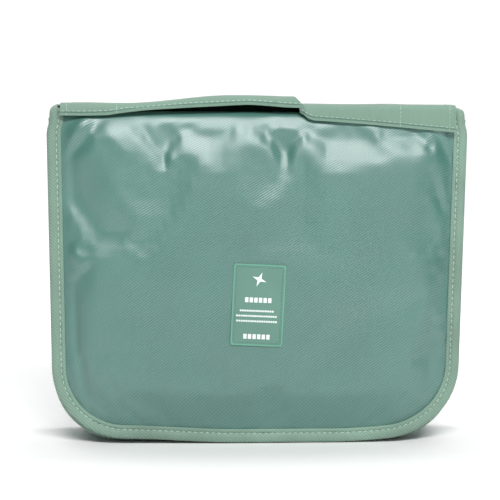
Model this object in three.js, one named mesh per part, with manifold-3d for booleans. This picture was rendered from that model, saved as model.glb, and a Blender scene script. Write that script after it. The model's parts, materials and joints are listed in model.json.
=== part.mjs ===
// Hanging toiletry bag, closed and standing on its bottom.
// Millimetres. X runs across the bag, the front faces -Y and +Z is up. The origin is
// the middle of the bag's footprint, at the level of its bottom.
//
// The bag folds in three: an open bin at the back, a top panel (the spine) that closes
// the bin's mouth, and a cover that hangs down in front. Every panel is a sandwich of
// outer cloth, padding and lining with a folded binding tape sewn round its edge.

import * as THREE from "three";
import { mergeVertices } from "three/addons/utils/BufferGeometryUtils.js";
import Module from "manifold-3d";

const wasm = await Module();
wasm.setup();

// ---------------------------------------------------------------- driving sizes
const bagWidth = 240;
const bagDepth = 60;
const spineTop = 193.5;
const spineThickness = 6;
const foldClearance = 0.5; // between the spine's underside and a panel's top edge

const seat = 0.3; // between pieces that are sewn or rest together
const running = 0.5; // between pieces that slide past each other
const cloth = 0.8;
const meshCloth = 0.6;
const webbing = 0.8;
const padding = 3;
const tape = 1; // thickness of the binding tape
const tapeWidth = 8; // how far the binding laps over a panel

const coverLift = 4; // free edge of the cover above the bag's bottom
const coverTaper = 2.5; // each side leans in by this much towards the free edge
const coverRadius = 42;
const coverCrown = 7.1; // how far the padding pushes the cover's face forward
const crownRun = 30; // width of the rise from the binding to the crown

const binInset = 3; // the bin is narrower than the cover by this much on each side
const binRadius = 40;
const wall = 1.5; // front wall and gussets
const frontWallHeight = 140;
const gussetDrop = 3; // from a panel's top edge down to the high end of a side gusset
const gussetLap = 6; // straight part of the bottom gusset above its round corners
const rimWidth = 7;
const rimTape = 0.7;

const labelWidth = 30;
const labelHeight = 46;
const labelThickness = 1.4;
const labelRadius = 2;
const labelTilt = -2.5; // degrees
const labelX = -0.5;
const labelZ = 84;

const hookThickness = 3;
const hookBar = 6;
const hookRingRadius = 10; // middle of the bar
const hookCrownZ = 8;
const hookStem = 5;
const hookBaseWidth = 28;
const hookBaseHeight = 9;
const hookSlotHeight = 4;
const hookSlotWidth = 22;
const hookMouth = 62; // degrees of the ring left open
const hookWebWidth = 20;
const hookWebLength = 30;
const hookWebSewn = 8;
const stopWidth = 42;
const stopHeight = 4;
const keeperWidth = 44;
const keeperOpening = 34;
const keeperGap = 0.5; // from the binding to the keeper
const keeperHeight = 12;

const closureReach = 7.5; // how far a closure tape runs into the cover's round corner
const closureWidth = 44;
const closureHeight = 20;
const closureGap = 2; // from the binding to a closure tape

const zipChainWidth = 3.4;
const zipChainThickness = 1.4;
const zipTapeWidth = 6;
const zipEndGap = 9.5; // from the end of a zip to the binding
const zipStopLength = 2;
const sliderLength = 8;
const sliderHeight = 8;
const sliderThickness = 1.2;
const pullWidth = 5;
const pullThickness = 1;
const pullLength = 18;
const coverZipZ = 99;
const backZipDrop = 21; // from a panel's top edge down to the middle of the zip
const pocketDrop = 9; // from the same edge down to the top of the mesh pocket

const frontPocketBottom = 40;
const frontPocketTop = 120;
const hemHeight = 8;
const backPocketBottom = 22;

const loopCount = 4;
const loopBandInset = 5; // from the end of the elastic band to the binding
const loopDepth = 14;
const loopFoot = 8;
const loopZ = 80;
const loopHeight = 28;
const elastic = 1.2;

const strapThickness = 1.5;
const strapDepth = 18; // from its front edge to its rear edge
const strapDrop = 3.9; // how far its front edge hangs below the spine's top
const strapOverhang = 3.4; // how far its front edge stands in front of the spine
const strapSewn = 32; // length of each sewn end
const strapRise = 5; // height of the bowed stretch
const strapRiseStart = 18; // from the left sewn end to where the strap starts to rise
const strapRiseRun = 32;
const strapKinkX = 20; // where the strap folds down again
const strapKinkRun = 7;
const tackWidth = 2;
const tackThickness = 0.5;

const arcSteps = 9; // segments in a quarter round

// ---------------------------------------------------------------- levels from front to back
const front = -bagDepth / 2;
const rear = bagDepth / 2;

const coverFace = front + labelThickness + seat; // cover's outer cloth at its crown
const coverCloth = coverFace + coverCrown; // the same cloth at its sewn edge
const coverFront = coverCloth - seat - tape; // front of the binding
const coverLiningFront = coverCloth + cloth + seat;
const coverLiningRear = coverLiningFront + cloth;
const coverRear = coverLiningRear + seat + tape;

const onCover = coverLiningRear + seat; // front of whatever is sewn to the lining
const hookFront = coverRear + seat;
const hookRear = hookFront + hookThickness;
const keeperRear = hookRear + seat + webbing;

const binFront = keeperRear + running;
const wallFront = binFront + tape + seat;
const wallRear = wallFront + wall;
const gussetFront = wallRear + seat + tape + seat;

const backClothRear = rear - tape - seat;
const backClothFront = backClothRear - cloth;
const backPaddingFront = backClothFront - seat - padding;
const backLiningRear = backPaddingFront - seat;
const backLiningFront = backLiningRear - cloth;
const backTapeFront = backLiningFront - seat - tape;
const gussetRear = backTapeFront - seat;
const onBack = backLiningFront - seat; // rear of whatever is sewn to the back lining

const spineBottom = spineTop - spineThickness;
const panelTop = spineBottom - foldClearance;
const backZipZ = panelTop - backZipDrop;
const pocketTop = panelTop - pocketDrop;
const gussetBackHeight = panelTop - gussetDrop;
const gussetSplit = binRadius + gussetLap;

const coverHalf = bagWidth / 2;
const coverLowHalf = coverHalf - coverTaper;
const binHalf = coverHalf - binInset;
const zipLength = 2 * (coverLowHalf - tapeWidth - zipEndGap);
const closureX = coverLowHalf - coverRadius + closureReach - closureWidth / 2;
const tapeTopZ = coverLift + tapeWidth; // upper edge of the binding along the cover's free edge
const keeperBottom = tapeTopZ + keeperGap;
const closureBottom = tapeTopZ + closureGap;
const strapEnd = coverHalf - tapeWidth;
const strapSpan = strapEnd - strapSewn;

// ---------------------------------------------------------------- geometry helpers
function positionsOnly(geometry) {
  const bare = geometry.clone();
  for (const name of Object.keys(bare.attributes)) {
    if (name !== "position") {
      bare.deleteAttribute(name);
    }
  }
  return mergeVertices(bare, 1e-4);
}

function toSolid(geometry) {
  const bare = positionsOnly(geometry);
  return new wasm.Manifold(new wasm.Mesh({
    numProp: 3,
    vertProperties: new Float32Array(bare.attributes.position.array),
    triVerts: new Uint32Array(bare.index.array),
  }));
}

function toGeometry(solid) {
  const mesh = solid.getMesh();
  const geometry = new THREE.BufferGeometry();
  geometry.setAttribute("position", new THREE.BufferAttribute(mesh.vertProperties, 3));
  geometry.setIndex(new THREE.BufferAttribute(mesh.triVerts, 1));
  return geometry;
}

function cut(geometry, ...tools) {
  let solid = toSolid(geometry);
  for (const tool of tools) {
    solid = solid.subtract(toSolid(tool));
  }
  return toGeometry(solid);
}

function join(geometry, ...others) {
  let solid = toSolid(geometry);
  for (const other of others) {
    solid = solid.add(toSolid(other));
  }
  return toGeometry(solid);
}

function box(x0, x1, y0, y1, z0, z1) {
  const geometry = new THREE.BoxGeometry(x1 - x0, y1 - y0, z1 - z0);
  return geometry.translate((x0 + x1) / 2, (y0 + y1) / 2, (z0 + z1) / 2);
}

// A flat shape drawn in X and Z, made solid between two levels of Y.
function plate(shape, y0, y1) {
  const settings = { depth: y1 - y0, bevelEnabled: false, curveSegments: arcSteps };
  return new THREE.ExtrudeGeometry(shape, settings).rotateX(Math.PI / 2).translate(0, y1, 0);
}

// A flat shape drawn in Y and Z, made solid between two levels of X.
function sidePlate(shape, x0, x1) {
  const geometry = new THREE.ExtrudeGeometry(shape, { depth: x1 - x0, bevelEnabled: false });
  return geometry.rotateY(Math.PI / 2).rotateX(Math.PI / 2).translate(x0, 0, 0);
}

// A flat shape drawn in X and Y, made solid between two levels of Z.
function standing(shape, z0, z1) {
  const settings = { depth: z1 - z0, bevelEnabled: false, curveSegments: arcSteps };
  return new THREE.ExtrudeGeometry(shape, settings).translate(0, 0, z0);
}

function polygon(points) {
  return new THREE.Shape(points.map(([a, b]) => new THREE.Vector2(a, b)));
}

// A panel with square top corners and round bottom corners, its edge moved in by inset.
function panelShape({ half, taper, bottom, top, radius }, inset = 0, topInset = 0) {
  const topHalf = half - inset;
  const lowHalf = half - taper - inset;
  const low = bottom + inset;
  const round = radius - inset;
  const shape = new THREE.Shape();
  shape.moveTo(-topHalf, top - topInset);
  shape.lineTo(-lowHalf, low + round);
  shape.absarc(-lowHalf + round, low + round, round, Math.PI, 1.5 * Math.PI, false);
  shape.lineTo(lowHalf - round, low);
  shape.absarc(lowHalf - round, low + round, round, 1.5 * Math.PI, 2 * Math.PI, false);
  shape.lineTo(topHalf, top - topInset);
  shape.closePath();
  return shape;
}

// A folded tape round the sides and bottom of a panel, a channel open towards the middle.
function bindingChannel(panel, y0, y1) {
  const tall = { ...panel, top: panel.top + tapeWidth };
  return cut(
    plate(panelShape(panel), y0, y1),
    plate(panelShape(tall, tape), y0 + tape, y1 - tape),
    plate(panelShape(tall, tapeWidth), y0 - tape, y1 + tape),
  );
}

// A closed solid through rings of points that all have the same count.
function loft(rings) {
  const count = rings[0].length;
  const positions = rings.flat().flatMap((point) => [point.x, point.y, point.z]);
  const index = [];
  for (let ring = 0; ring + 1 < rings.length; ring += 1) {
    for (let i = 0; i < count; i += 1) {
      const a = ring * count + i;
      const b = ring * count + ((i + 1) % count);
      index.push(a, b, b + count, a, b + count, a + count);
    }
  }
  const last = (rings.length - 1) * count;
  for (const [a, b, c] of capTriangles(rings[0])) {
    index.push(c, b, a);
  }
  for (const [a, b, c] of capTriangles(rings[rings.length - 1])) {
    index.push(last + a, last + b, last + c);
  }
  const geometry = new THREE.BufferGeometry();
  geometry.setAttribute("position", new THREE.Float32BufferAttribute(positions, 3));
  geometry.setIndex(signedVolume(positions, index) < 0 ? index.reverse() : index);
  return geometry;
}

// Triangles that fill a ring, each with its corners in the ring's own order.
function capTriangles(ring) {
  const size = new THREE.Box3().setFromPoints(ring).getSize(new THREE.Vector3());
  const across = size.x < size.y ? "y" : "x";
  const contour = ring.map((point) => new THREE.Vector2(point[across], point.z));
  const triangles = THREE.ShapeUtils.triangulateShape(contour, []);
  return triangles.map((corners) => [...corners].sort((a, b) => a - b));
}

function signedVolume(positions, index) {
  const point = (i) => new THREE.Vector3().fromArray(positions, 3 * i);
  let volume = 0;
  for (let i = 0; i < index.length; i += 3) {
    const [a, b, c] = [point(index[i]), point(index[i + 1]), point(index[i + 2])];
    volume += a.dot(b.cross(c)) / 6;
  }
  return volume;
}

// ---------------------------------------------------------------- materials and the group
const bag = new THREE.Group();

function finish(color, roughness, metalness = 0) {
  return new THREE.MeshStandardMaterial({ color, roughness, metalness });
}

const satin = finish(0x70958c, 0.45);
const bindingCloth = finish(0x8aa796, 0.75);
const strapCloth = finish(0x94b1a0, 0.7);
const lining = finish(0x6f8d84, 0.7);
const foam = finish(0xe6e6e0, 0.95);
const netting = finish(0x4f6f66, 0.85);
const elasticCloth = finish(0x5c7b71, 0.85);
const zipCloth = finish(0x6a8a7f, 0.8);
const zipTeeth = finish(0x587268, 0.5);
const zipMetal = finish(0xb9bcbb, 0.3, 0.9);
const hookPlastic = finish(0x3f4f4a, 0.4);
const labelRubber = finish(0x648a7c, 0.55);
const closureCloth = finish(0x5f8074, 0.95);
const thread = finish(0xa9c4b4, 0.8);

function add(name, geometry, material) {
  const mesh = new THREE.Mesh(geometry, material);
  mesh.name = name;
  bag.add(mesh);
}

const sides = [["left", -1], ["right", 1]];

// A box given by its two distances from the middle, on one side or the other.
function sideBox(side, inner, outer, y0, y1, z0, z1) {
  return box(Math.min(side * inner, side * outer), Math.max(side * inner, side * outer), y0, y1, z0, z1);
}

// ---------------------------------------------------------------- bin: back panel
const backEdge = { half: binHalf, taper: 0, bottom: 0, top: panelTop, radius: binRadius };
const inTape = tape + seat;

function addBackPanel() {
  const sewn = panelShape(backEdge, inTape);
  const padded = panelShape(backEdge, tapeWidth + seat, seat);
  add("back_outer_panel", plate(sewn, backClothFront, backClothRear), satin);
  add("back_foam", plate(padded, backPaddingFront, backPaddingFront + padding), foam);
  add("back_lining", plate(sewn, backLiningFront, backLiningRear), lining);
  add("back_binding", bindingChannel(backEdge, backTapeFront, rear), bindingCloth);
}

// ---------------------------------------------------------------- bin: gussets and their rims
// Height of a side gusset's top edge, which climbs from the front wall to the back panel.
function gussetTop(y) {
  const t = (y - gussetFront) / (gussetRear - gussetFront);
  return frontWallHeight + t * (gussetBackHeight - frontWallHeight);
}

function slopeShape(y0, y1, below, above) {
  return polygon([
    [y0, gussetTop(y0) + below],
    [y1, gussetTop(y1) + below],
    [y1, gussetTop(y1) + above],
    [y0, gussetTop(y0) + above],
  ]);
}

function addGussets() {
  const outer = { ...backEdge, top: spineTop };
  const ring = cut(
    plate(panelShape(outer), gussetFront, gussetRear),
    plate(panelShape({ ...outer, top: spineTop + wall }, wall), gussetFront - 1, gussetRear + 1),
  );
  const clear = spineTop + tapeWidth;
  add("gusset_bottom", cut(ring, box(-binHalf - 1, binHalf + 1, front, rear, gussetSplit, clear)), satin);

  const belowSplit = box(-binHalf - 1, binHalf + 1, front, rear, -1, gussetSplit + seat);
  const aboveSlope = slopeShape(gussetFront - 1, gussetRear + 1, 0, clear);
  for (const [name, side] of sides) {
    const otherSide = sideBox(-side, -1, binHalf + 1, front, rear, -1, clear);
    const tall = sidePlate(aboveSlope, -binHalf - 1, binHalf + 1);
    add(`gusset_${name}`, cut(ring, belowSplit, otherSide, tall), satin);

    const sleeve = seat + rimTape;
    const outside = slopeShape(gussetFront, gussetRear, -rimWidth, sleeve);
    const inside = slopeShape(gussetFront - 1, gussetRear + 1, -rimWidth - 1, seat);
    const reach = [binHalf - wall - sleeve, binHalf + sleeve].map((x) => side * x).sort((a, b) => a - b);
    const rim = cut(
      sidePlate(outside, ...reach),
      sidePlate(inside, reach[0] + rimTape, reach[1] - rimTape),
    );
    add(`gusset_rim_${name}`, rim, bindingCloth);
  }
}

// ---------------------------------------------------------------- bin: front wall
const wallEdge = { ...backEdge, top: frontWallHeight };
const insideTape = binHalf - tapeWidth - seat;

function addFrontWall() {
  add("front_wall", plate(panelShape(wallEdge, inTape), wallFront, wallRear), satin);
  add("front_binding", bindingChannel(wallEdge, binFront, gussetFront - seat), bindingCloth);

  const rimTop = frontWallHeight + seat + tape;
  const rim = cut(
    box(-insideTape, insideTape, binFront, gussetFront - seat, rimTop - rimWidth, rimTop),
    box(-binHalf, binHalf, wallFront - seat, wallRear + seat, 0, frontWallHeight + seat),
  );
  add("front_rim", rim, bindingCloth);

  const pocketRear = wallFront - seat;
  const pocketFront = pocketRear - meshCloth;
  add(
    "front_mesh_pocket",
    box(-insideTape, insideTape, pocketFront, pocketRear, frontPocketBottom, frontPocketTop),
    netting,
  );
  const hemTop = frontPocketTop + seat + hemHeight;
  add(
    "front_pocket_hem",
    box(-insideTape, insideTape, binFront, pocketRear, frontPocketTop + seat, hemTop),
    elasticCloth,
  );
}

// ---------------------------------------------------------------- closure tapes
function addClosure() {
  const middle = (coverLiningRear + wallFront) / 2;
  const [z0, z1] = [closureBottom, closureBottom + closureHeight];
  const [inner, outer] = [closureX - closureWidth / 2, closureX + closureWidth / 2];
  for (const [name, side] of sides) {
    const hooks = sideBox(side, inner, outer, onCover, middle - seat / 2, z0, z1);
    const loops = sideBox(side, inner, outer, middle + seat / 2, wallFront - seat, z0, z1);
    add(`hook_tape_${name}`, hooks, closureCloth);
    add(`loop_tape_${name}`, loops, closureCloth);
  }
}

// ---------------------------------------------------------------- zips
// base is the level of the sewn side of the zip and away is -1 or +1 along Y, the way
// that it faces. The slider starts at the right-hand end, where the zip is closed.
function level(base, away, near, far) {
  return [base + away * near, base + away * far].sort((a, b) => a - b);
}

const chainTop = zipChainThickness;
const sliderBase = chainTop + seat;
const sliderTop = sliderBase + sliderThickness;
const stopX = zipLength / 2 - zipStopLength / 2;
const sliderX = zipLength / 2 - zipStopLength - running - sliderLength / 2;

function addZip(name, base, away, z) {
  const halfChain = zipChainWidth / 2;
  const [tapeNear, tapeFar] = [halfChain + seat, halfChain + seat + zipTapeWidth];
  const half = zipLength / 2;
  const cloths = level(base, away, 0, cloth);
  add(`${name}_zip_tape_upper`, box(-half, half, ...cloths, z + tapeNear, z + tapeFar), zipCloth);
  add(`${name}_zip_tape_lower`, box(-half, half, ...cloths, z - tapeFar, z - tapeNear), zipCloth);
  const chainEnd = half - zipStopLength - seat;
  const chain = level(base, away, 0, chainTop);
  add(`${name}_zip_chain`, box(-chainEnd, chainEnd, ...chain, z - halfChain, z + halfChain), zipTeeth);
  for (const [end, side] of sides) {
    const stop = level(base, away, 0, sliderTop);
    const near = stopX - zipStopLength / 2;
    const stopBox = sideBox(side, near, near + zipStopLength, ...stop, z - halfChain, z + halfChain);
    add(`${name}_zip_stop_${end}`, stopBox, zipMetal);
  }
}

function sliderPlate(base, away, z) {
  const [y0, y1] = level(base, away, sliderBase, sliderTop);
  const [left, right] = [sliderX - sliderLength / 2, sliderX + sliderLength / 2];
  return box(left, right, y0, y1, z - sliderHeight / 2, z + sliderHeight / 2);
}

// A round bar along Y or X.
function roundBar(axis, radius, length, x, y, z, steps = 16) {
  const bar = new THREE.CylinderGeometry(radius, radius, length, steps);
  if (axis === "x") {
    bar.rotateZ(Math.PI / 2);
  }
  return bar.translate(x, y, z);
}

const postRadius = 1;
const postClearance = 0.4;
const pullHead = postRadius + postClearance + 1.4; // radius of the pull round its hole

// The cover's pull swivels on a post, flat against the pocket.
function addCoverZip() {
  addZip("cover", onCover, 1, coverZipZ);
  const plateTop = onCover + sliderTop;
  const pullFront = plateTop + seat;
  const pullRear = pullFront + pullThickness;
  const postLength = sliderThickness / 2 + seat + pullThickness + seat;
  const postY = plateTop - sliderThickness / 2 + postLength / 2;
  const post = roundBar("y", postRadius, postLength, sliderX, postY, coverZipZ);
  add("cover_zip_slider", join(sliderPlate(onCover, 1, coverZipZ), post), zipMetal);

  const tab = box(
    sliderX - pullWidth / 2, sliderX + pullWidth / 2,
    pullFront, pullRear, coverZipZ - pullLength, coverZipZ,
  );
  const head = roundBar("y", pullHead, pullThickness, sliderX, (pullFront + pullRear) / 2, coverZipZ);
  const hole = roundBar("y", postRadius + postClearance, 3 * pullThickness, sliderX, pullFront, coverZipZ);
  add("cover_zip_pull", cut(join(tab, head), hole), zipMetal);
}

const pinRadius = 0.6;
const barrelRadius = 1.5;
const barrelWidth = 3.6;
const earThickness = 1;

// The back pocket's pull hangs from a pin between two ears and swings out.
function addBackZip() {
  addZip("back", onBack, -1, backZipZ);
  const plateFront = onBack - sliderTop;
  const pinY = plateFront - seat - barrelRadius;
  const earHalf = barrelWidth / 2 + seat;
  let slider = sliderPlate(onBack, -1, backZipZ);
  for (const [, side] of sides) {
    const [near, far] = [side * earHalf, side * (earHalf + earThickness)].sort((a, b) => a - b);
    const ear = box(
      sliderX + near, sliderX + far, pinY - barrelRadius, plateFront + sliderThickness / 2,
      backZipZ - barrelRadius, backZipZ + barrelRadius,
    );
    slider = join(slider, ear);
  }
  const pin = roundBar("x", pinRadius, 2 * earHalf + earThickness, sliderX, pinY, backZipZ);
  add("back_zip_slider", join(slider, pin), zipMetal);

  const barrel = roundBar("x", barrelRadius, barrelWidth, sliderX, pinY, backZipZ);
  const tab = box(
    sliderX - barrelWidth / 2, sliderX + barrelWidth / 2,
    pinY - pullThickness / 2, pinY + pullThickness / 2, backZipZ - pullLength, backZipZ,
  );
  const bore = roundBar("x", pinRadius + seat, 2 * barrelWidth, sliderX, pinY, backZipZ);
  add("back_zip_pull", cut(join(tab, barrel), bore), zipMetal);
}

// ---------------------------------------------------------------- back pocket and bottle loops
const zipReach = zipChainWidth / 2 + seat + zipTapeWidth;

function addBackPocket() {
  const [y0, y1] = [onBack - meshCloth, onBack];
  const pocket = { ...backEdge, top: backZipZ - zipReach - seat };
  const panel = cut(
    plate(panelShape(pocket, tapeWidth + seat), y0, y1),
    box(-binHalf, binHalf, front, rear, -1, backPocketBottom),
  );
  add("back_pocket_panel", panel, lining);

  const foot = y0 - seat; // rear face of the band where it is stitched down
  const end = insideTape - loopBandInset;
  const half = (2 * end - (loopCount + 1) * loopFoot) / loopCount / 2;
  const pitch = 2 * half + loopFoot;
  const start = -((loopCount - 1) / 2) * pitch;
  const band = new THREE.Shape();
  band.moveTo(-end, foot);
  for (let i = 0; i < loopCount; i += 1) {
    const x = start + i * pitch;
    band.lineTo(x - half + elastic, foot);
    band.absellipse(x, foot, half - elastic, loopDepth - elastic, Math.PI, 2 * Math.PI, false, 0);
  }
  band.lineTo(end, foot);
  band.lineTo(end, foot - elastic);
  for (let i = loopCount - 1; i >= 0; i -= 1) {
    const x = start + i * pitch;
    const lift = Math.asin(elastic / loopDepth);
    band.absellipse(x, foot, half, loopDepth, -lift, Math.PI + lift, true, 0);
  }
  band.lineTo(-end, foot - elastic);
  band.closePath();
  add("elastic_loop_band", standing(band, loopZ, loopZ + loopHeight), elasticCloth);
}

// ---------------------------------------------------------------- spine
function addSpine() {
  const [y0, y1] = [coverFront, rear];
  const inner = coverHalf - tapeWidth - seat;
  const padHalf = coverHalf - tape - seat;
  add("spine_outer", box(-inner, inner, y0, y1, spineTop - cloth, spineTop), satin);
  add("spine_lining", box(-inner, inner, y0, y1, spineBottom, spineBottom + cloth), lining);
  const [padBottom, padTop] = [spineBottom + cloth + seat, spineTop - cloth - seat];
  add("spine_foam", box(-padHalf, padHalf, y0 + seat, y1 - seat, padBottom, padTop), foam);
  for (const [name, side] of sides) {
    const folded = cut(
      sideBox(side, coverHalf - tapeWidth, coverHalf, y0, y1, spineBottom, spineTop),
      sideBox(side, 0, coverHalf - tape, y0 - 1, y1 + 1, spineBottom + cloth, spineTop - cloth),
    );
    add(`spine_binding_${name}`, folded, bindingCloth);
  }
}

// ---------------------------------------------------------------- handle
// How far the strap stands above its sewn level at x, bowed up along the middle.
function strapLift(x) {
  const rise = strapRiseStart - strapSpan;
  const up = rise + strapRiseRun;
  const fall = strapKinkX;
  const down = strapKinkX + strapKinkRun;
  return strapRise * (THREE.MathUtils.smoothstep(x, rise, up) - THREE.MathUtils.smoothstep(x, fall, down));
}

// The strap lies on the spine and its front edge rolls over the spine's front edge.
function strapRing(x) {
  const [under, over] = [spineTop + seat, spineTop + seat + strapThickness];
  const hem = coverFront - strapOverhang;
  const back = hem + strapDepth;
  const section = [
    [hem, spineTop - strapDrop],
    [hem + 1.2, spineTop + 0.6],
    [hem + 4, over],
    [back, over],
    [back, under],
    [hem + 3.4, under],
    [hem + 2.4, spineTop - 0.2],
    [hem + strapThickness, spineTop - strapDrop],
  ];
  return section.map(([y, z]) => new THREE.Vector3(x, y, z + strapLift(x)));
}

function addHandle() {
  const rise = strapRiseStart - strapSpan;
  const steps = 8;
  const stations = [-strapSpan];
  for (let i = 0; i <= steps; i += 1) {
    stations.push(rise + (strapRiseRun * i) / steps);
  }
  for (let i = 0; i <= steps; i += 1) {
    stations.push(strapKinkX + (strapKinkRun * i) / steps);
  }
  stations.push(strapSpan);
  add("handle_strap", loft(stations.map(strapRing)), strapCloth);

  const back = coverFront - strapOverhang + strapDepth;
  for (const [name, side] of sides) {
    const ends = [side * (strapSpan + seat), side * strapEnd].sort((a, b) => a - b);
    add(`handle_end_${name}`, loft(ends.map(strapRing)), strapCloth);
    const tackBottom = spineTop + 2 * seat + strapThickness;
    const tack = sideBox(
      side, strapSpan + tackWidth, strapSpan + 2 * tackWidth, coverFront + tackWidth, back - tackWidth,
      tackBottom, tackBottom + tackThickness,
    );
    add(`handle_tack_${name}`, tack, thread);
  }
}

// ---------------------------------------------------------------- cover
const coverEdge = {
  half: coverHalf, taper: coverTaper, bottom: coverLift, top: panelTop, radius: coverRadius,
};

// How far the padding lifts the cover's face at a distance in from its edge.
function crown(inset) {
  return coverCrown * THREE.MathUtils.smoothstep(inset, tapeWidth + seat, tapeWidth + seat + crownRun);
}

function coverRing(inset, y) {
  const outline = panelShape(coverEdge, inset, inset - inTape).getPoints(arcSteps);
  const apart = outline.filter((point, i) => i === 0 || point.distanceTo(outline[i - 1]) > 1e-3);
  return apart.slice(0, -1).map((point) => new THREE.Vector3(point.x, y, point.y));
}

function addCover() {
  const flat = tapeWidth + seat;
  const steps = [0, 0.2, 0.4, 0.6, 0.8, 1].map((t) => flat + t * crownRun);
  const insets = [inTape, ...steps];
  const face = insets.map((inset) => coverRing(inset, coverCloth - crown(inset)));
  const backing = insets.map((inset) => coverRing(inset, coverCloth - crown(inset) + cloth));
  add("cover_outer_panel", loft([...face.reverse(), ...backing]), satin);

  const padRear = coverLiningFront - seat;
  const padInsets = steps.slice(2);
  const lift = cloth + seat;
  const pad = padInsets.map((inset) => coverRing(inset, coverCloth - crown(inset) + lift));
  add("cover_foam", loft([...pad.reverse(), coverRing(padInsets[0], padRear)]), foam);

  add("cover_lining", plate(panelShape(coverEdge, inTape), coverLiningFront, coverLiningRear), lining);
  add("cover_binding", bindingChannel(coverEdge, coverFront, coverRear), bindingCloth);
}

function addLabel() {
  const [x, z] = [labelWidth / 2, labelHeight / 2];
  const shape = new THREE.Shape();
  shape.moveTo(-x + labelRadius, -z);
  shape.absarc(x - labelRadius, -z + labelRadius, labelRadius, -Math.PI / 2, 0, false);
  shape.absarc(x - labelRadius, z - labelRadius, labelRadius, 0, Math.PI / 2, false);
  shape.absarc(-x + labelRadius, z - labelRadius, labelRadius, Math.PI / 2, Math.PI, false);
  shape.absarc(-x + labelRadius, -z + labelRadius, labelRadius, Math.PI, 1.5 * Math.PI, false);
  const patch = plate(shape, front, front + labelThickness);
  patch.rotateY(THREE.MathUtils.degToRad(-labelTilt));
  add("label_patch", patch.translate(labelX, 0, labelZ), labelRubber);
}

function addCoverPocket() {
  const insideEdge = coverLowHalf - tapeWidth - seat;
  const bottom = coverZipZ + zipReach + seat;
  const pocket = box(-insideEdge, insideEdge, onCover, onCover + meshCloth, bottom, pocketTop);
  add("cover_mesh_pocket", pocket, netting);
}

// ---------------------------------------------------------------- pull-out hook
// The hook's crown points at the cover's free edge, and its mouth is on the right.
const ringOuter = hookRingRadius + hookBar / 2;
const ringInner = hookRingRadius - hookBar / 2;
const ringZ = hookCrownZ + ringOuter;
const baseBottom = ringZ + hookRingRadius + hookStem;
const baseTop = baseBottom + hookBaseHeight;
const barBottom = baseTop - (hookBaseHeight - hookSlotHeight) / 2; // bar that the webbing goes round

function hookRing() {
  const tip = Math.PI / 2 - THREE.MathUtils.degToRad(hookMouth);
  const shape = new THREE.Shape();
  shape.absarc(0, ringZ, ringOuter, tip, -1.5 * Math.PI, true);
  shape.absarc(0, ringZ, ringInner, -1.5 * Math.PI, tip, false);
  shape.closePath();
  return plate(shape, hookFront, hookRear);
}

function addHook() {
  const [halfBar, halfBase, halfSlot] = [hookBar / 2, hookBaseWidth / 2, hookSlotWidth / 2];
  const stem = box(-halfBar, halfBar, hookFront, hookRear, ringZ + hookRingRadius, baseBottom + 1);
  const thin = webbing + seat; // taken off each face of the bar
  const base = cut(
    box(-halfBase, halfBase, hookFront, hookRear, baseBottom, baseTop),
    box(-halfSlot, halfSlot, hookFront - 1, hookRear + 1, barBottom - hookSlotHeight, barBottom),
    box(-halfSlot, halfSlot, hookFront - 1, hookFront + thin, barBottom - 1, baseTop + 1),
    box(-halfSlot, halfSlot, hookRear - thin, hookRear + 1, barBottom - 1, baseTop + 1),
  );
  add("hanger_hook", join(hookRing(), stem, base), hookPlastic);

  const halfWeb = hookWebWidth / 2;
  const webTop = baseTop + hookWebLength;
  const [between0, between1] = [hookFront + webbing, hookRear - webbing];
  const web = cut(
    box(-halfWeb, halfWeb, hookFront, hookRear, barBottom - seat - webbing, webTop),
    box(-halfWeb - 1, halfWeb + 1, between0, between1, barBottom - seat, webTop - hookWebSewn),
  );
  add("hook_strap", web, strapCloth);

  const halfStop = stopWidth / 2;
  const stopBottom = webTop + seat;
  const stop = box(-halfStop, halfStop, hookFront, hookRear, stopBottom, stopBottom + stopHeight);
  add("hook_stop_bar", stop, hookPlastic);

  const keeper = cut(
    box(-keeperWidth / 2, keeperWidth / 2, onCover, keeperRear, keeperBottom, keeperBottom + keeperHeight),
    box(
      -keeperOpening / 2, keeperOpening / 2, onCover - 1, keeperRear - webbing,
      keeperBottom - 1, keeperBottom + keeperHeight + 1,
    ),
  );
  add("hook_keeper", keeper, strapCloth);
}

addBackPanel();
addGussets();
addFrontWall();
addClosure();
addBackPocket();
addBackZip();
addSpine();
addHandle();
addCover();
addLabel();
addCoverPocket();
addCoverZip();
addHook();

export default bag;
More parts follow.
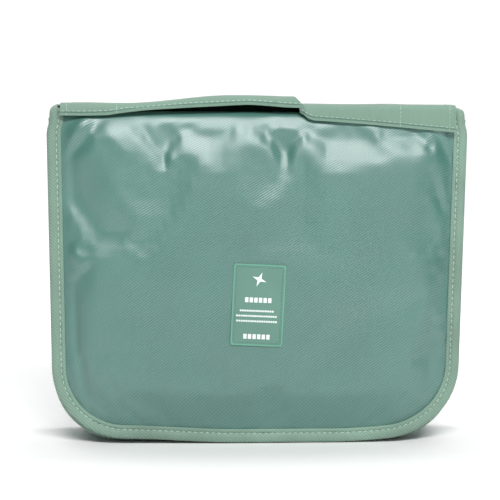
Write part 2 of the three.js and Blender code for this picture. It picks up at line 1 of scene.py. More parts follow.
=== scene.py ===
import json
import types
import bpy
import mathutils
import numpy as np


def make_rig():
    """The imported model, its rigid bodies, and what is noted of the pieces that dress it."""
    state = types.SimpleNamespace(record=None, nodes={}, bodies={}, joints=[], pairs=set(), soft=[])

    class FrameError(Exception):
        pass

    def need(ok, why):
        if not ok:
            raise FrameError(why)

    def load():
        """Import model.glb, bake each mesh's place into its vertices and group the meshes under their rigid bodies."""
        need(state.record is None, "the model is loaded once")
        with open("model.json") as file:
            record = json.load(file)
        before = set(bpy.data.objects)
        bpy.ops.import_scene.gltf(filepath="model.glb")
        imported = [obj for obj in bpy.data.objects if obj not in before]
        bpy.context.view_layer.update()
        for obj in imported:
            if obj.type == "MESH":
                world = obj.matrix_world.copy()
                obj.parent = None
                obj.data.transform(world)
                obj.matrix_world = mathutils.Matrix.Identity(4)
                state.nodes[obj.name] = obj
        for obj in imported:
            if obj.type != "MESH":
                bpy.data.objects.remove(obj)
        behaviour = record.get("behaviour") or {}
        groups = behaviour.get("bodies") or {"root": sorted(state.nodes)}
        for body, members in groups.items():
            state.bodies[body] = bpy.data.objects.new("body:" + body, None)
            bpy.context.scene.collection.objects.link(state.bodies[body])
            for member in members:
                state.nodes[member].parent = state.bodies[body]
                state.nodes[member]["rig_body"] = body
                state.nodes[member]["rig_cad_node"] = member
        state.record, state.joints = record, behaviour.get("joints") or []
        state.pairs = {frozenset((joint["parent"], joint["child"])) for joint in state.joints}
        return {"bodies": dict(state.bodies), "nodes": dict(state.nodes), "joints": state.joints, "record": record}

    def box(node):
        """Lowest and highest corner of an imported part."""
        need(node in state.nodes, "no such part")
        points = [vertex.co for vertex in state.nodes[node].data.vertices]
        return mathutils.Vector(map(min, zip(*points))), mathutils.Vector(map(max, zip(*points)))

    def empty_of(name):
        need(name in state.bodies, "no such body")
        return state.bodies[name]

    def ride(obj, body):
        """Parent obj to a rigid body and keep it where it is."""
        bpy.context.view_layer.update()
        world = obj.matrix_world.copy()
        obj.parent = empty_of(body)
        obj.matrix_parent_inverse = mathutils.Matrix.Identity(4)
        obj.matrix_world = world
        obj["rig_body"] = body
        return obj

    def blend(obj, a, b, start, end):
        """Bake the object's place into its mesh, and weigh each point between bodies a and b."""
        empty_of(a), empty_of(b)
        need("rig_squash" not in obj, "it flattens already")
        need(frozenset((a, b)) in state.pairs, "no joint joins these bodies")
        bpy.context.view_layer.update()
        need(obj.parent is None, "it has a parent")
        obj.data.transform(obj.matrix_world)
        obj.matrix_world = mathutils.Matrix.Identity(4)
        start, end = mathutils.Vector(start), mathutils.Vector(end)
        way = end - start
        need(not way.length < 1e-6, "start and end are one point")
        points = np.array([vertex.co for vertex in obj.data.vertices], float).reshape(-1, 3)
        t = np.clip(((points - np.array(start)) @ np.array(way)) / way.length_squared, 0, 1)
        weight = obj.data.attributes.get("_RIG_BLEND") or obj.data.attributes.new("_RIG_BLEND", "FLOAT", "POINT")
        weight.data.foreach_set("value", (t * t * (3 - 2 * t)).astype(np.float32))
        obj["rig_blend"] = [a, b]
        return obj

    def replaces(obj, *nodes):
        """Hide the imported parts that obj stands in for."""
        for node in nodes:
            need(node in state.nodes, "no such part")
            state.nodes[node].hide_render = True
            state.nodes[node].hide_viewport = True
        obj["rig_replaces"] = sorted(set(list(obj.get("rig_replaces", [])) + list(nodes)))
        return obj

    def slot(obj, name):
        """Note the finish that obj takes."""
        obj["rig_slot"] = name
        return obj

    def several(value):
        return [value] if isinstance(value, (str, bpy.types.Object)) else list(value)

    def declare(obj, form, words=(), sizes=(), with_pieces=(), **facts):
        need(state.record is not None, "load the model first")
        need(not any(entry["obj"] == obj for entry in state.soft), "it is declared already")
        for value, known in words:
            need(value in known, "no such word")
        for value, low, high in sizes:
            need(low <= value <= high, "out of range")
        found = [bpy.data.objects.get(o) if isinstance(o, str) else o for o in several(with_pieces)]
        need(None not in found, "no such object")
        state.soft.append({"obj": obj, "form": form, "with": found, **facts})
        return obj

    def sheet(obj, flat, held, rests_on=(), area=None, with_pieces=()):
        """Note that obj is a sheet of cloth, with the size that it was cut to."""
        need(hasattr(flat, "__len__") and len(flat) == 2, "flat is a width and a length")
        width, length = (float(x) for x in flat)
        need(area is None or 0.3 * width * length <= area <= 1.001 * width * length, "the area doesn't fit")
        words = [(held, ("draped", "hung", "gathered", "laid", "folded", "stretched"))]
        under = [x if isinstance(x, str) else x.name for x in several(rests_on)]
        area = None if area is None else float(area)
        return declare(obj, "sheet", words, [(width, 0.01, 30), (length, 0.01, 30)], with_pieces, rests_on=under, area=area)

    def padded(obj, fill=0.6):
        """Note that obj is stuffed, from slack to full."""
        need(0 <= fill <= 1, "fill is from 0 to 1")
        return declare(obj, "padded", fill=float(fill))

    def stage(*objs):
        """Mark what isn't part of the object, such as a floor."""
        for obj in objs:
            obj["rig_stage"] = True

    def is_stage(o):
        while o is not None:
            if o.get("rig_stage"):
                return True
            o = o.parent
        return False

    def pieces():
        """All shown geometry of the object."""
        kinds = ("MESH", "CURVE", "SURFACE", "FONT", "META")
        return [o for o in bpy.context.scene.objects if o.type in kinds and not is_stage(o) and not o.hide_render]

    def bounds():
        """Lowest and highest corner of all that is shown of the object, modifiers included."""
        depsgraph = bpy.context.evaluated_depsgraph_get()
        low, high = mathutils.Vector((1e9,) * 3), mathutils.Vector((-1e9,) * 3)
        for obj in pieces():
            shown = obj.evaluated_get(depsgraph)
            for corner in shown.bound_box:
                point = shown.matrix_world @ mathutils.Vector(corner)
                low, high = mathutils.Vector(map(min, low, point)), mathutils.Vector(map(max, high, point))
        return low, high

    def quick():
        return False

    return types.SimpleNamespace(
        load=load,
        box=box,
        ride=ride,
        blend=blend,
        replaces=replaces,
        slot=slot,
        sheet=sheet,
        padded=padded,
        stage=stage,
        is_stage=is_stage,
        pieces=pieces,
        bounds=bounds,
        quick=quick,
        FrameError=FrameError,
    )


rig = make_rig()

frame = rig.load()

import json
import math

import bmesh
import bpy
import numpy as np
from mathutils import Quaternion, Vector, noise

cad_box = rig.bounds()

MM = 0.001
SEAT = 0.3 * MM


# ------------------------------------------------------------------ places, from the frame
def node_box(node):
    low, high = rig.box(node)
    return np.array(low, float), np.array(high, float)


COVER_LOW, COVER_HIGH = node_box("cover_binding")
PANEL_LOW, PANEL_HIGH = node_box("cover_outer_panel")
SPINE_LOW, SPINE_HIGH = node_box("spine_binding_left")
BACK_LOW, BACK_HIGH = node_box("back_binding")
WALL_LOW, WALL_HIGH = node_box("front_binding")
GUSSET_LOW, GUSSET_HIGH = node_box("gusset_bottom")
STRAP_LOW, STRAP_HIGH = node_box("handle_strap")

TAPE_WIDTH = 8 * MM
SPINE_TOP = SPINE_HIGH[2]
COVER_HALF = COVER_HIGH[0]
COVER_TOP = COVER_HIGH[2]
REAR = BACK_HIGH[1]


class Panel:
    """A panel with square top corners, round bottom corners and sides that lean in a little."""

    def __init__(self, half, taper, bottom, top, radius):
        self.half = half
        self.taper = taper
        self.bottom = bottom
        self.top = top
        self.radius = radius

    def inset(self, d, top=0.0):
        return Panel(self.half - d, self.taper, self.bottom + d, self.top - top, self.radius - d)

    def half_at(self, z):
        low_half = self.half - self.taper
        knee = self.bottom + self.radius
        side = low_half + self.taper * np.clip((z - knee) / (self.top - knee), 0, 1)
        drop = np.clip(knee - z, 0, self.radius)
        return side - self.radius + np.sqrt(np.maximum(self.radius**2 - drop**2, 0))

    def edge_distance(self, x, z):
        """How far a point is from the nearest edge, counting the top."""
        low_half = self.half - self.taper
        knee = self.bottom + self.radius
        side = low_half + self.taper * np.clip((z - knee) / (self.top - knee), 0, 1) - np.abs(x)
        straight = np.minimum(side, z - self.bottom)
        dx = np.abs(x) - (low_half - self.radius)
        dz = knee - z
        corner = self.radius - np.hypot(np.maximum(dx, 0), np.maximum(dz, 0))
        low = np.where((dx > 0) & (dz > 0), corner, straight)
        return np.minimum(low, self.top - z)

    def grid(self, arc_rows, rows, cols):
        """X and Z of a grid that fills the panel, its rows closest together round the corners."""
        turn = np.linspace(0, math.pi / 2, arc_rows + 1)
        knee = self.bottom + self.radius
        z = np.concatenate([
            self.bottom + self.radius * (1 - np.cos(turn)),
            np.linspace(knee, self.top, rows + 1)[1:],
        ])
        u = np.linspace(-1, 1, cols + 1)
        x = self.half_at(z)[:, None] * u[None, :]
        return x, np.repeat(z[:, None], cols + 1, axis=1)

    def path(self, step=4 * MM, turns=16):
        """Points down the left side, along the bottom and up the right side, and the way inwards."""
        low_half = self.half - self.taper
        knee = self.bottom + self.radius
        count = max(int((self.top - knee) / step), 2)
        side = np.linspace(self.top, knee, count + 1)[:-1]
        left = np.stack([-self.half_at(side), side], axis=1)
        angle = np.linspace(math.pi, 1.5 * math.pi, turns + 1)
        centre = low_half - self.radius
        arc = np.stack([-centre + self.radius * np.cos(angle), knee + self.radius * np.sin(angle)], axis=1)
        flat_x = np.linspace(-centre, centre, max(int(2 * centre / step), 2) + 1)[1:-1]
        flat = np.stack([flat_x, np.full_like(flat_x, self.bottom)], axis=1)
        half_path = np.concatenate([left, arc])
        mirrored = half_path[::-1] * np.array([-1, 1])
        points = np.concatenate([half_path, flat, mirrored])
        tangent = np.gradient(points, axis=0)
        tangent /= np.linalg.norm(tangent, axis=1)[:, None]
        inward = np.stack([-tangent[:, 1], tangent[:, 0]], axis=1)
        return points, inward


COVER = Panel(COVER_HALF, 2.5 * MM, COVER_LOW[2], COVER_TOP, 42 * MM)
BACK = Panel(BACK_HIGH[0], 0.0, BACK_LOW[2], BACK_HIGH[2], 40 * MM)
WALL = Panel(WALL_HIGH[0], 0.0, WALL_LOW[2], WALL_HIGH[2], 40 * MM)


# ------------------------------------------------------------------ meshes
def smoothstep(x, a, b):
    t = np.clip((x - a) / (b - a), 0, 1)
    return t * t * (3 - 2 * t)


SHARP = math.radians(55)


def make_object(name, verts, faces, material, smooth=True):
    mesh = bpy.data.meshes.new(name)
    mesh.from_pydata([tuple(map(float, v)) for v in verts], [], [tuple(map(int, f)) for f in faces])
    mesh.validate()
    work = bmesh.new()
    work.from_mesh(mesh)
    bmesh.ops.remove_doubles(work, verts=work.verts, dist=1e-6)
    bmesh.ops.recalc_face_normals(work, faces=work.faces)
    work.to_mesh(mesh)
    work.free()
    for polygon in mesh.polygons:
        polygon.use_smooth = smooth
    if smooth:
        mesh.set_sharp_from_angle(angle=SHARP)
    obj = bpy.data.objects.new(name, mesh)
    bpy.context.collection.objects.link(obj)
    mesh.materials.append(material)
    return obj


def piece(obj, slot, body=None, nodes=()):
    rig.slot(obj, slot)
    if nodes:
        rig.replaces(obj, *nodes)
    if body:
        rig.ride(obj, body)
    return obj


def grid_faces(rows, cols, start=0, flip=False):
    faces = []
    for r in range(rows - 1):
        for c in range(cols - 1):
            a = start + r * cols + c
            quad = (a, a + 1, a + cols + 1, a + cols)
            faces.append(quad[::-1] if flip else quad)
    return faces


def closed_sheet(front, back):
    """Vertices and faces of a thin closed body between two grids of points."""
    rows, cols = front.shape[:2]
    n = rows * cols
    verts = np.concatenate([front.reshape(-1, 3), back.reshape(-1, 3)])
    faces = grid_faces(rows, cols) + grid_faces(rows, cols, n, flip=True)
    ring = list(range(cols))
    ring += [r * cols + cols - 1 for r in range(1, rows)]
    ring += [(rows - 1) * cols + c for c in range(cols - 2, -1, -1)]
    ring += [r * cols for r in range(rows - 2, 0, -1)]
    for i, a in enumerate(ring):
        b = ring[(i + 1) % len(ring)]
        faces.append((b, a, a + n, b + n))
    return verts, faces


def sweep(profile, path, across, outward, scale=None, jitter=0.0):
    """A closed band: profile points (inwards, outwards) carried along a path, with capped ends."""
    profile = np.asarray(profile, float)
    count, sides = len(path), len(profile)
    scale = np.ones(count) if scale is None else np.asarray(scale, float)
    verts = []
    for i in range(count):
        wobble = 0.0
        if jitter:
            wobble = jitter * noise.noise(Vector(path[i]) / (9 * MM))
        for u, w in profile:
            lift = w * scale[i] + wobble * (1 if w > 0 else 0) * min(u / (2 * MM), 1)
            verts.append(path[i] + u * across[i] + lift * outward[i])
    faces = []
    for i in range(count - 1):
        for k in range(sides):
            a = i * sides + k
            b = i * sides + (k + 1) % sides
            faces.append((a, b, b + sides, a + sides))
    faces.append(tuple(range(sides)))
    faces.append(tuple((count - 1) * sides + k for k in range(sides - 1, -1, -1)))
    return verts, faces


STITCH_INSET = 2.5 * MM
TAPE_SWELL = 1.17


def folded_tape(width, thick, half_gap):
    """Profile of a tape folded round an edge: a C that opens inwards, pulled in where it is stitched."""
    groove = width - STITCH_INSET
    outer = [(width, half_gap * 0.86), (width - 0.4 * MM, half_gap), (groove + 0.9 * MM, half_gap * 1.03)]
    outer += [(groove, half_gap * 0.62), (groove - 0.9 * MM, half_gap * 1.06)]
    outer += [(groove * 0.62, half_gap * TAPE_SWELL), (groove * 0.34, half_gap * 1.1)]
    outer += [(groove * 0.14, half_gap * 0.9), (groove * 0.035, half_gap * 0.55)]
    outer += [(0.0, 0.0)]
    inner = [(u if u == width else max(u, thick), max(w - thick, 0.0)) for u, w in outer]
    inner[-1] = (thick, 0.0)
    outer_all = outer + [(u, -w) for u, w in outer[-2::-1]]
    inner_all = inner + [(u, -w) for u, w in inner[-2::-1]]
    return outer_all + inner_all[::-1]


def line_and_outward(points, outward):
    """A line's points, with one outward direction for each of them."""
    points = np.asarray(points, float)
    outward = np.asarray(outward, float)
    if outward.ndim == 1:
        outward = np.repeat(outward[None, :], len(points), axis=0)
    return points, outward


def stitch_row(points, outward, pitch=3.0 * MM, length=2.1 * MM, radius=0.3 * MM):
    """Vertices and faces of a row of thread stitches lying on a surface."""
    points, outward = line_and_outward(points, outward)
    gaps = np.linalg.norm(np.diff(points, axis=0), axis=1)
    along = np.concatenate([[0], np.cumsum(gaps)])
    centres = np.arange(pitch / 2, along[-1] - length / 2, pitch)
    verts, faces = [], []
    shape = [(-1.0, 0.3, -0.6), (-0.7, 0.85, 0.1), (0.0, 1.0, 0.55), (0.7, 0.85, 0.1), (1.0, 0.3, -0.6)]
    sides = 6

    def at(s):
        return np.array([np.interp(s, along, points[:, k]) for k in range(3)])

    for s in centres:
        normal = np.array([np.interp(s, along, outward[:, k]) for k in range(3)])
        normal /= np.linalg.norm(normal)
        a, b = at(s - length / 2), at(s + length / 2)
        tangent = (b - a) / np.linalg.norm(b - a)
        side = np.cross(tangent, normal)
        middle = (a + b) / 2
        base = len(verts)
        for t, r, lift in shape:
            for k in range(sides):
                angle = 2 * math.pi * k / sides
                ring = radius * r * (math.cos(angle) * side + 0.8 * math.sin(angle) * normal)
                verts.append(middle + tangent * t * length / 2 + normal * lift * radius + ring)
        for j in range(len(shape) - 1):
            for k in range(sides):
                p = base + j * sides + k
                q = base + j * sides + (k + 1) % sides
                faces.append((p, q, q + sides, p + sides))
        faces.append(tuple(base + k for k in range(sides - 1, -1, -1)))
        faces.append(tuple(base + (len(shape) - 1) * sides + k for k in range(sides)))
    return verts, faces


def seam_line(points, outward, radius=0.2 * MM):
    """A thin dark cord lying along a seam: painted shade in the groove that the stitches pull in."""
    points, outward = line_and_outward(points, outward)
    along = np.gradient(points, axis=0)
    side = np.cross(along, outward)
    side /= np.linalg.norm(side, axis=1)[:, None]
    profile = [(math.cos(k * math.pi / 3) * radius, math.sin(k * math.pi / 3) * radius) for k in range(6)]
    return sweep(profile, points, side, outward)


def gather(parts):
    """Several (vertices, faces) as one."""
    verts, faces = [], []
    for v, f in parts:
        start = len(verts)
        verts.extend(v)
        faces.extend(tuple(i + start for i in face) for face in f)
    return verts, faces


EDGE_ROUND = 0.25 * MM
EDGE_SEGMENTS = 2


def rounded_copy(node, name, material, slot):
    """A CAD node's shape with its edges softened."""
    source = frame["nodes"][node]
    mesh = source.data.copy()
    mesh.transform(source.matrix_world)
    work = bmesh.new()
    work.from_mesh(mesh)
    bmesh.ops.remove_doubles(work, verts=work.verts, dist=1e-6)
    bmesh.ops.dissolve_limit(work, angle_limit=math.radians(2), verts=work.verts, edges=work.edges)
    sharp = [e for e in work.edges if len(e.link_faces) == 2 and e.calc_face_angle(0) > math.radians(30)]
    bmesh.ops.bevel(
        work, geom=sharp, offset=EDGE_ROUND, segments=EDGE_SEGMENTS, affect="EDGES",
        clamp_overlap=True, profile=0.6,
    )
    work.to_mesh(mesh)
    work.free()
    mesh.materials.clear()
    obj = bpy.data.objects.new(name, mesh)
    bpy.context.collection.objects.link(obj)
    mesh.materials.append(material)
    for polygon in mesh.polygons:
        polygon.use_smooth = polygon.area < 4e-6
    body = next(b for b, nodes in BODIES.items() if node in nodes)
    return piece(obj, slot, body, [node])


BODIES = frame["record"]["behaviour"]["bodies"]


# ------------------------------------------------------------------ materials
class Nodes:
    """A small helper that adds shader nodes and links them."""

    def __init__(self, name):
        self.material = bpy.data.materials.new(name)
        self.material.use_nodes = True
        self.tree = self.material.node_tree
        self.shader = self.tree.nodes["Principled BSDF"]
        self.place = self.add("ShaderNodeTexCoord").outputs["Object"]

    def add(self, kind, **settings):
        node = self.tree.nodes.new(kind)
        for key, value in settings.items():
            setattr(node, key, value)
        return node

    def link(self, a, b):
        self.tree.links.new(a, b)

    def math(self, operation, a, b=None):
        node = self.add("ShaderNodeMath", operation=operation)
        for socket, value in zip(node.inputs, (a, b)):
            if value is None:
                continue
            if isinstance(value, (int, float)):
                socket.default_value = value
            else:
                self.link(value, socket)
        return node.outputs[0]

    def noise(self, scale, detail=3.0, roughness=0.5, stretch=(1, 1, 1)):
        mapping = self.add("ShaderNodeMapping")
        mapping.inputs["Scale"].default_value = stretch
        self.link(self.place, mapping.inputs["Vector"])
        node = self.add("ShaderNodeTexNoise")
        node.inputs["Scale"].default_value = scale
        node.inputs["Detail"].default_value = detail
        node.inputs["Roughness"].default_value = roughness
        self.link(mapping.outputs[0], node.inputs["Vector"])
        return node.outputs["Fac"]

    def ridges(self, direction, pitch, bend=0.0, bend_scale=20.0):
        """A wave from 0 to 1 across a direction, pitch metres from crest to crest."""
        dot = self.add("ShaderNodeVectorMath", operation="DOT_PRODUCT")
        self.link(self.place, dot.inputs[0])
        dot.inputs[1].default_value = direction
        value = dot.outputs["Value"]
        if bend:
            value = self.math("ADD", value, self.math("MULTIPLY", self.noise(bend_scale, 1.0), bend))
        phase = self.math("MULTIPLY", value, 2 * math.pi / pitch)
        return self.math("ADD", self.math("MULTIPLY", self.math("SINE", phase), 0.5), 0.5)

    def ramp(self, factor, low, high, start=0.0, end=1.0):
        ramp = self.add("ShaderNodeValToRGB")
        ramp.color_ramp.elements[0].position = start
        ramp.color_ramp.elements[1].position = end
        ramp.color_ramp.elements[0].color = (*low, 1)
        ramp.color_ramp.elements[1].color = (*high, 1)
        self.link(factor, ramp.inputs["Fac"])
        return ramp.outputs["Color"]

    def mix(self, factor, a, b, blend="MIX"):
        node = self.add("ShaderNodeMix", data_type="RGBA", blend_type=blend)
        for socket, value in ((node.inputs["Factor"], factor), (node.inputs["A"], a), (node.inputs["B"], b)):
            if isinstance(value, tuple):
                socket.default_value = (*value, 1)
            elif isinstance(value, (int, float)):
                socket.default_value = value
            else:
                self.link(value, socket)
        return node.outputs["Result"]

    def bump(self, height, strength, distance, after=None):
        node = self.add("ShaderNodeBump")
        node.inputs["Strength"].default_value = strength
        node.inputs["Distance"].default_value = distance
        self.link(height, node.inputs["Height"])
        if after:
            self.link(after, node.inputs["Normal"])
        return node.outputs["Normal"]

    def remap(self, value, low, high):
        node = self.add("ShaderNodeMapRange")
        node.inputs["To Min"].default_value = low
        node.inputs["To Max"].default_value = high
        self.link(value, node.inputs["Value"])
        return node.outputs["Result"]


def shade(color, factor):
    return tuple(min(c * factor, 1.0) for c in color)


def cloth_material(
    name, color, pitch, angle, rough=0.6, contrast=0.12, depth=0.08 * MM, sheen=0.2, mottle=0.08,
    coarse=0.0, bend=0.0, anisotropic=0.0, specular=0.5, ior=1.5,
):
    """Woven cloth: diagonal ribs, crossing threads, slow colour drift, a little wear."""
    n = Nodes(name)
    a = math.radians(angle)
    ribs = n.ridges((math.cos(a), 0.55, math.sin(a)), pitch, bend, 14.0)
    threads = n.ridges((-math.sin(a), 0.35, math.cos(a)), pitch * 0.45, bend * 0.5, 30.0)
    weave = n.math("ADD", n.math("MULTIPLY", ribs, 0.7), n.math("MULTIPLY", threads, 0.3))
    base = n.ramp(weave, shade(color, 1 - contrast), shade(color, 1 + contrast))
    drift = n.ramp(n.noise(22.0, 3.0), (1 - mottle,) * 3, (1 + mottle * 0.5,) * 3, 0.3, 0.7)
    base = n.mix(1.0, base, drift, "MULTIPLY")
    slub = n.ramp(n.noise(900.0, 2.0, stretch=(1, 1, 0.15)), (0.93,) * 3, (1.0,) * 3, 0.35, 0.65)
    base = n.mix(0.7, base, slub, "MULTIPLY")
    n.link(base, n.shader.inputs["Base Color"])
    n.link(n.remap(n.noise(60.0, 2.0), rough - 0.05, rough + 0.07), n.shader.inputs["Roughness"])
    normal = n.bump(weave, 0.5, depth)
    if coarse:
        normal = n.bump(n.noise(70.0, 2.0), 0.35, coarse, normal)
    n.link(normal, n.shader.inputs["Normal"])
    n.shader.inputs["Sheen Weight"].default_value = sheen
    n.shader.inputs["Sheen Roughness"].default_value = 0.45
    n.shader.inputs["Specular IOR Level"].default_value = specular
    n.shader.inputs["Anisotropic"].default_value = anisotropic
    n.shader.inputs["IOR"].default_value = ior
    return n.material


def solid_material(name, color, rough, metal=0.0, grain=400.0, depth=0.02 * MM, drift=0.06):
    """Moulded plastic, rubber or plated metal with fine grain and uneven gloss."""
    n = Nodes(name)
    base = n.ramp(n.noise(40.0, 3.0), shade(color, 1 - drift), shade(color, 1 + drift), 0.3, 0.7)
    n.link(base, n.shader.inputs["Base Color"])
    n.link(n.remap(n.noise(120.0, 3.0), rough - 0.06, rough + 0.08), n.shader.inputs["Roughness"])
    n.link(n.bump(n.noise(grain, 2.0), 0.4, depth), n.shader.inputs["Normal"])
    n.shader.inputs["Metallic"].default_value = metal
    return n.material


SATIN_COLOR = (0.058, 0.186, 0.155)
TAPE_COLOR = (0.198, 0.313, 0.246)
STRAP_COLOR = (0.176, 0.290, 0.222)

satin = cloth_material(
    "satin_twill", SATIN_COLOR, 1.3 * MM, 125, rough=0.38, contrast=0.3, depth=0.16 * MM, sheen=0.1,
    mottle=0.08, bend=1.5 * MM, anisotropic=0.2, specular=1.0, ior=1.62,
)
satin_plain = cloth_material(
    "satin_side", SATIN_COLOR, 1.3 * MM, 125, rough=0.42, contrast=0.12, depth=0.1 * MM, sheen=0.2, bend=1.0 * MM,
)
# Satin darkened to near black: painted shade for the cloth in the gap under the bowed strap.
shadow_cloth = cloth_material(
    "fold_cloth", shade(SATIN_COLOR, 0.06), 1.2 * MM, 40, rough=0.8, contrast=0.1, sheen=0.0, specular=0.2,
)
tape_cloth = cloth_material(
    "binding_tape", TAPE_COLOR, 1.4 * MM, 48, rough=0.62, contrast=0.2, depth=0.16 * MM, sheen=0.3,
    mottle=0.2, coarse=1.0 * MM,
)
strap_cloth = cloth_material(
    "strap_band", STRAP_COLOR, 0.8 * MM, 15, rough=0.66, contrast=0.05, depth=0.05 * MM, sheen=0.3, mottle=0.05,
)
lining_cloth = cloth_material(
    "lining", (0.150, 0.255, 0.220), 0.9 * MM, 0, rough=0.6, contrast=0.08, depth=0.05 * MM, coarse=0.3 * MM,
)
net_cloth = cloth_material("netting", (0.10, 0.19, 0.165), 0.5 * MM, 30, rough=0.7, contrast=0.1, depth=0.03 * MM)
elastic_cloth = cloth_material(
    "elastic", (0.105, 0.195, 0.170), 1.3 * MM, 90, rough=0.75, contrast=0.25, depth=0.25 * MM,
)
zip_cloth = cloth_material("zip_tape", (0.140, 0.245, 0.210), 1.0 * MM, 35, rough=0.75, contrast=0.14)
loop_cloth = cloth_material(
    "closure_pile", (0.115, 0.205, 0.175), 0.6 * MM, 20, rough=0.95, contrast=0.3, depth=0.3 * MM, sheen=0.6,
    coarse=0.3 * MM,
)
thread = cloth_material("thread", (0.42, 0.60, 0.49), 0.35 * MM, 50, rough=0.6, contrast=0.15, depth=0.04 * MM)
# Dark thread for the label's stitches; the same colour is also the painted shade of the cords along the seams.
dark_thread = cloth_material("dark_thread", (0.10, 0.20, 0.17), 0.35 * MM, 50, rough=0.6, contrast=0.15)
teeth_plastic = solid_material("zip_teeth", (0.10, 0.18, 0.155), 0.4)
zip_metal = solid_material("zip_metal", (0.60, 0.61, 0.60), 0.28, metal=1.0, grain=900.0, depth=0.01 * MM)
hook_plastic = solid_material("hook_plastic", (0.045, 0.075, 0.066), 0.42, grain=1500.0)
label_rubber = solid_material("label_rubber", (0.118, 0.250, 0.200), 0.5, grain=700.0, depth=0.03 * MM)
label_rim = solid_material("label_rim", (0.135, 0.345, 0.255), 0.45, grain=700.0, depth=0.03 * MM)
label_print = solid_material("label_print", (0.82, 0.88, 0.85), 0.5)


# ------------------------------------------------------------------ cover
# The padding stands out below this line and falls back above it. The line (x, z in millimetres)
# zigzags where the satin is gathered, and the light catches on it.
SHOULDER = [
    (-118, 160), (-112, 170), (-104, 181), (-96, 184), (-84, 185), (-74, 183), (-66, 178), (-59, 171), (-53, 164),
    (-49, 172), (-44, 177), (-36, 176), (-28, 173), (-21, 174), (-14, 178), (-7, 181), (0, 178), (7, 173), (12, 165),
    (16, 164), (20, 172), (25, 178), (31, 176), (38, 171), (48, 170), (60, 170), (72, 170), (80, 173), (88, 172),
    (95, 176), (101, 175), (106, 166), (111, 155), (118, 140),
]
# Creases and soft ridges: from (x, z) to (x, z), half width and height, all in millimetres.
CREASES = [
    (-110, 173, -97, 187, 3.5, 0.9), (-106, 166, -90, 184, 4.0, -0.8), (-86, 178, -74, 166, 4.0, 0.4),
    (-62, 184, -50, 163, 3.0, 0.5), (8, 186, 15, 166, 3.2, -0.4), (60, 185, 72, 171, 4.0, 0.3),
    (86, 184, 99, 170, 3.5, -0.5), (100, 186, 113, 166, 2.6, 0.9),
    (104, 178, 113, 160, 2.2, -0.8), (105, 150, 112, 131, 2.6, 0.9), (101, 150, 108, 134, 3.0, -0.6),
    (-109, 152, -88, 118, 9.0, -1.1), (-84, 150, -66, 126, 9.0, 0.7), (-106, 112, -99, 104, 4.0, 0.9),
    (-106, 86, -99, 26, 3.2, -0.8), (-110, 84, -105, 40, 2.6, 0.5), (-99, 60, -84, 22, 4.5, 0.4),
    (104, 92, 98, 40, 4.0, -0.5), (-60, 98, 40, 92, 14.0, 0.5), (40, 92, 104, 100, 12.0, 0.4),
    (-20, 60, 70, 52, 16.0, 0.35), (-86, 46, -30, 40, 12.0, 0.3),
]


def crease_relief(x, z):
    """Height of all the creases at points given in millimetres."""
    total = np.zeros_like(x)
    for x0, z0, x1, z1, half, height in CREASES:
        dx, dz = x1 - x0, z1 - z0
        length = math.hypot(dx, dz)
        t = ((x - x0) * dx + (z - z0) * dz) / length**2
        across = ((x - x0) * dz - (z - z0) * dx) / length
        across = across + 0.12 * length * (t - 0.5) ** 2
        ends = smoothstep(t, -0.35, 0.2) * (1 - smoothstep(t, 0.8, 1.35))
        total += height * np.exp(-((across / half) ** 2)) * ends
    return total


def noise_field(x, z, size, seed):
    """Smooth noise from -1 to 1 at points in millimetres."""
    flat = np.array([
        noise.noise(Vector((a / size, b / size, seed))) for a, b in zip(x.ravel(), z.ravel())
    ])
    return flat.reshape(x.shape)


CREST_TOP = COVER_TOP + 3.8 * MM
CREST_DEPTH = 2.4 * MM
CREST_HEIGHT = 6.0 * MM
SHOULDER_WIDTH = 3.0 * MM


def cover_face(x, z):
    """Y of the cover's outer cloth before it is simulated. At the top it rolls back over the fold."""
    seam = PANEL_HIGH[1] - 0.8 * MM
    top_d = CREST_TOP - z
    line_x, line_z = zip(*SHOULDER)
    shoulder = (np.interp(x / MM, line_x, line_z) - 1) * MM
    below = 1 / (1 + np.exp((z - shoulder) / SHOULDER_WIDTH))
    side_run = (26 + 5 * np.sin(z / MM / 17.0)) * MM
    side_d = COVER.inset(0, -60 * MM).edge_distance(x, z) - TAPE_WIDTH
    t_side = np.clip(side_d / side_run, 0, 1)
    t_top = np.clip(top_d / (10 * MM), 0, 1)
    rise = (1 - (1 - t_side) ** 2.4) * (0.35 * (1 - (1 - t_top) ** 2.0) + 0.65 * below)
    dome = (1 - (x / (118 * MM)) ** 2) * (1 - ((z - 92 * MM) / (104 * MM)) ** 2)
    lift = 5.6 * MM * rise + 4.2 * MM * np.clip(dome, 0, 1) * smoothstep(t_side, 0, 0.8)
    roll = CREST_DEPTH * (1 - np.sqrt(1 - np.clip(1 - top_d / CREST_HEIGHT, 0, 1) ** 2))
    fade = smoothstep(side_d, 0, 7 * MM) * smoothstep(top_d, 0, 6 * MM)
    x_mm, z_mm = x / MM, z / MM
    relief = 1.7 * crease_relief(x_mm, z_mm) + 0.5 * noise_field(x_mm, z_mm, 34.0, 3.1)
    relief += 0.12 * noise_field(x_mm, z_mm, 9.0, 7.7) * smoothstep(z_mm, 70, 180)
    return seam - lift + roll - relief * MM * fade


SIM_FULLNESS = 0.006
SIM_PRESSURE = 0.0
SIM_CAP = 1.2 * MM


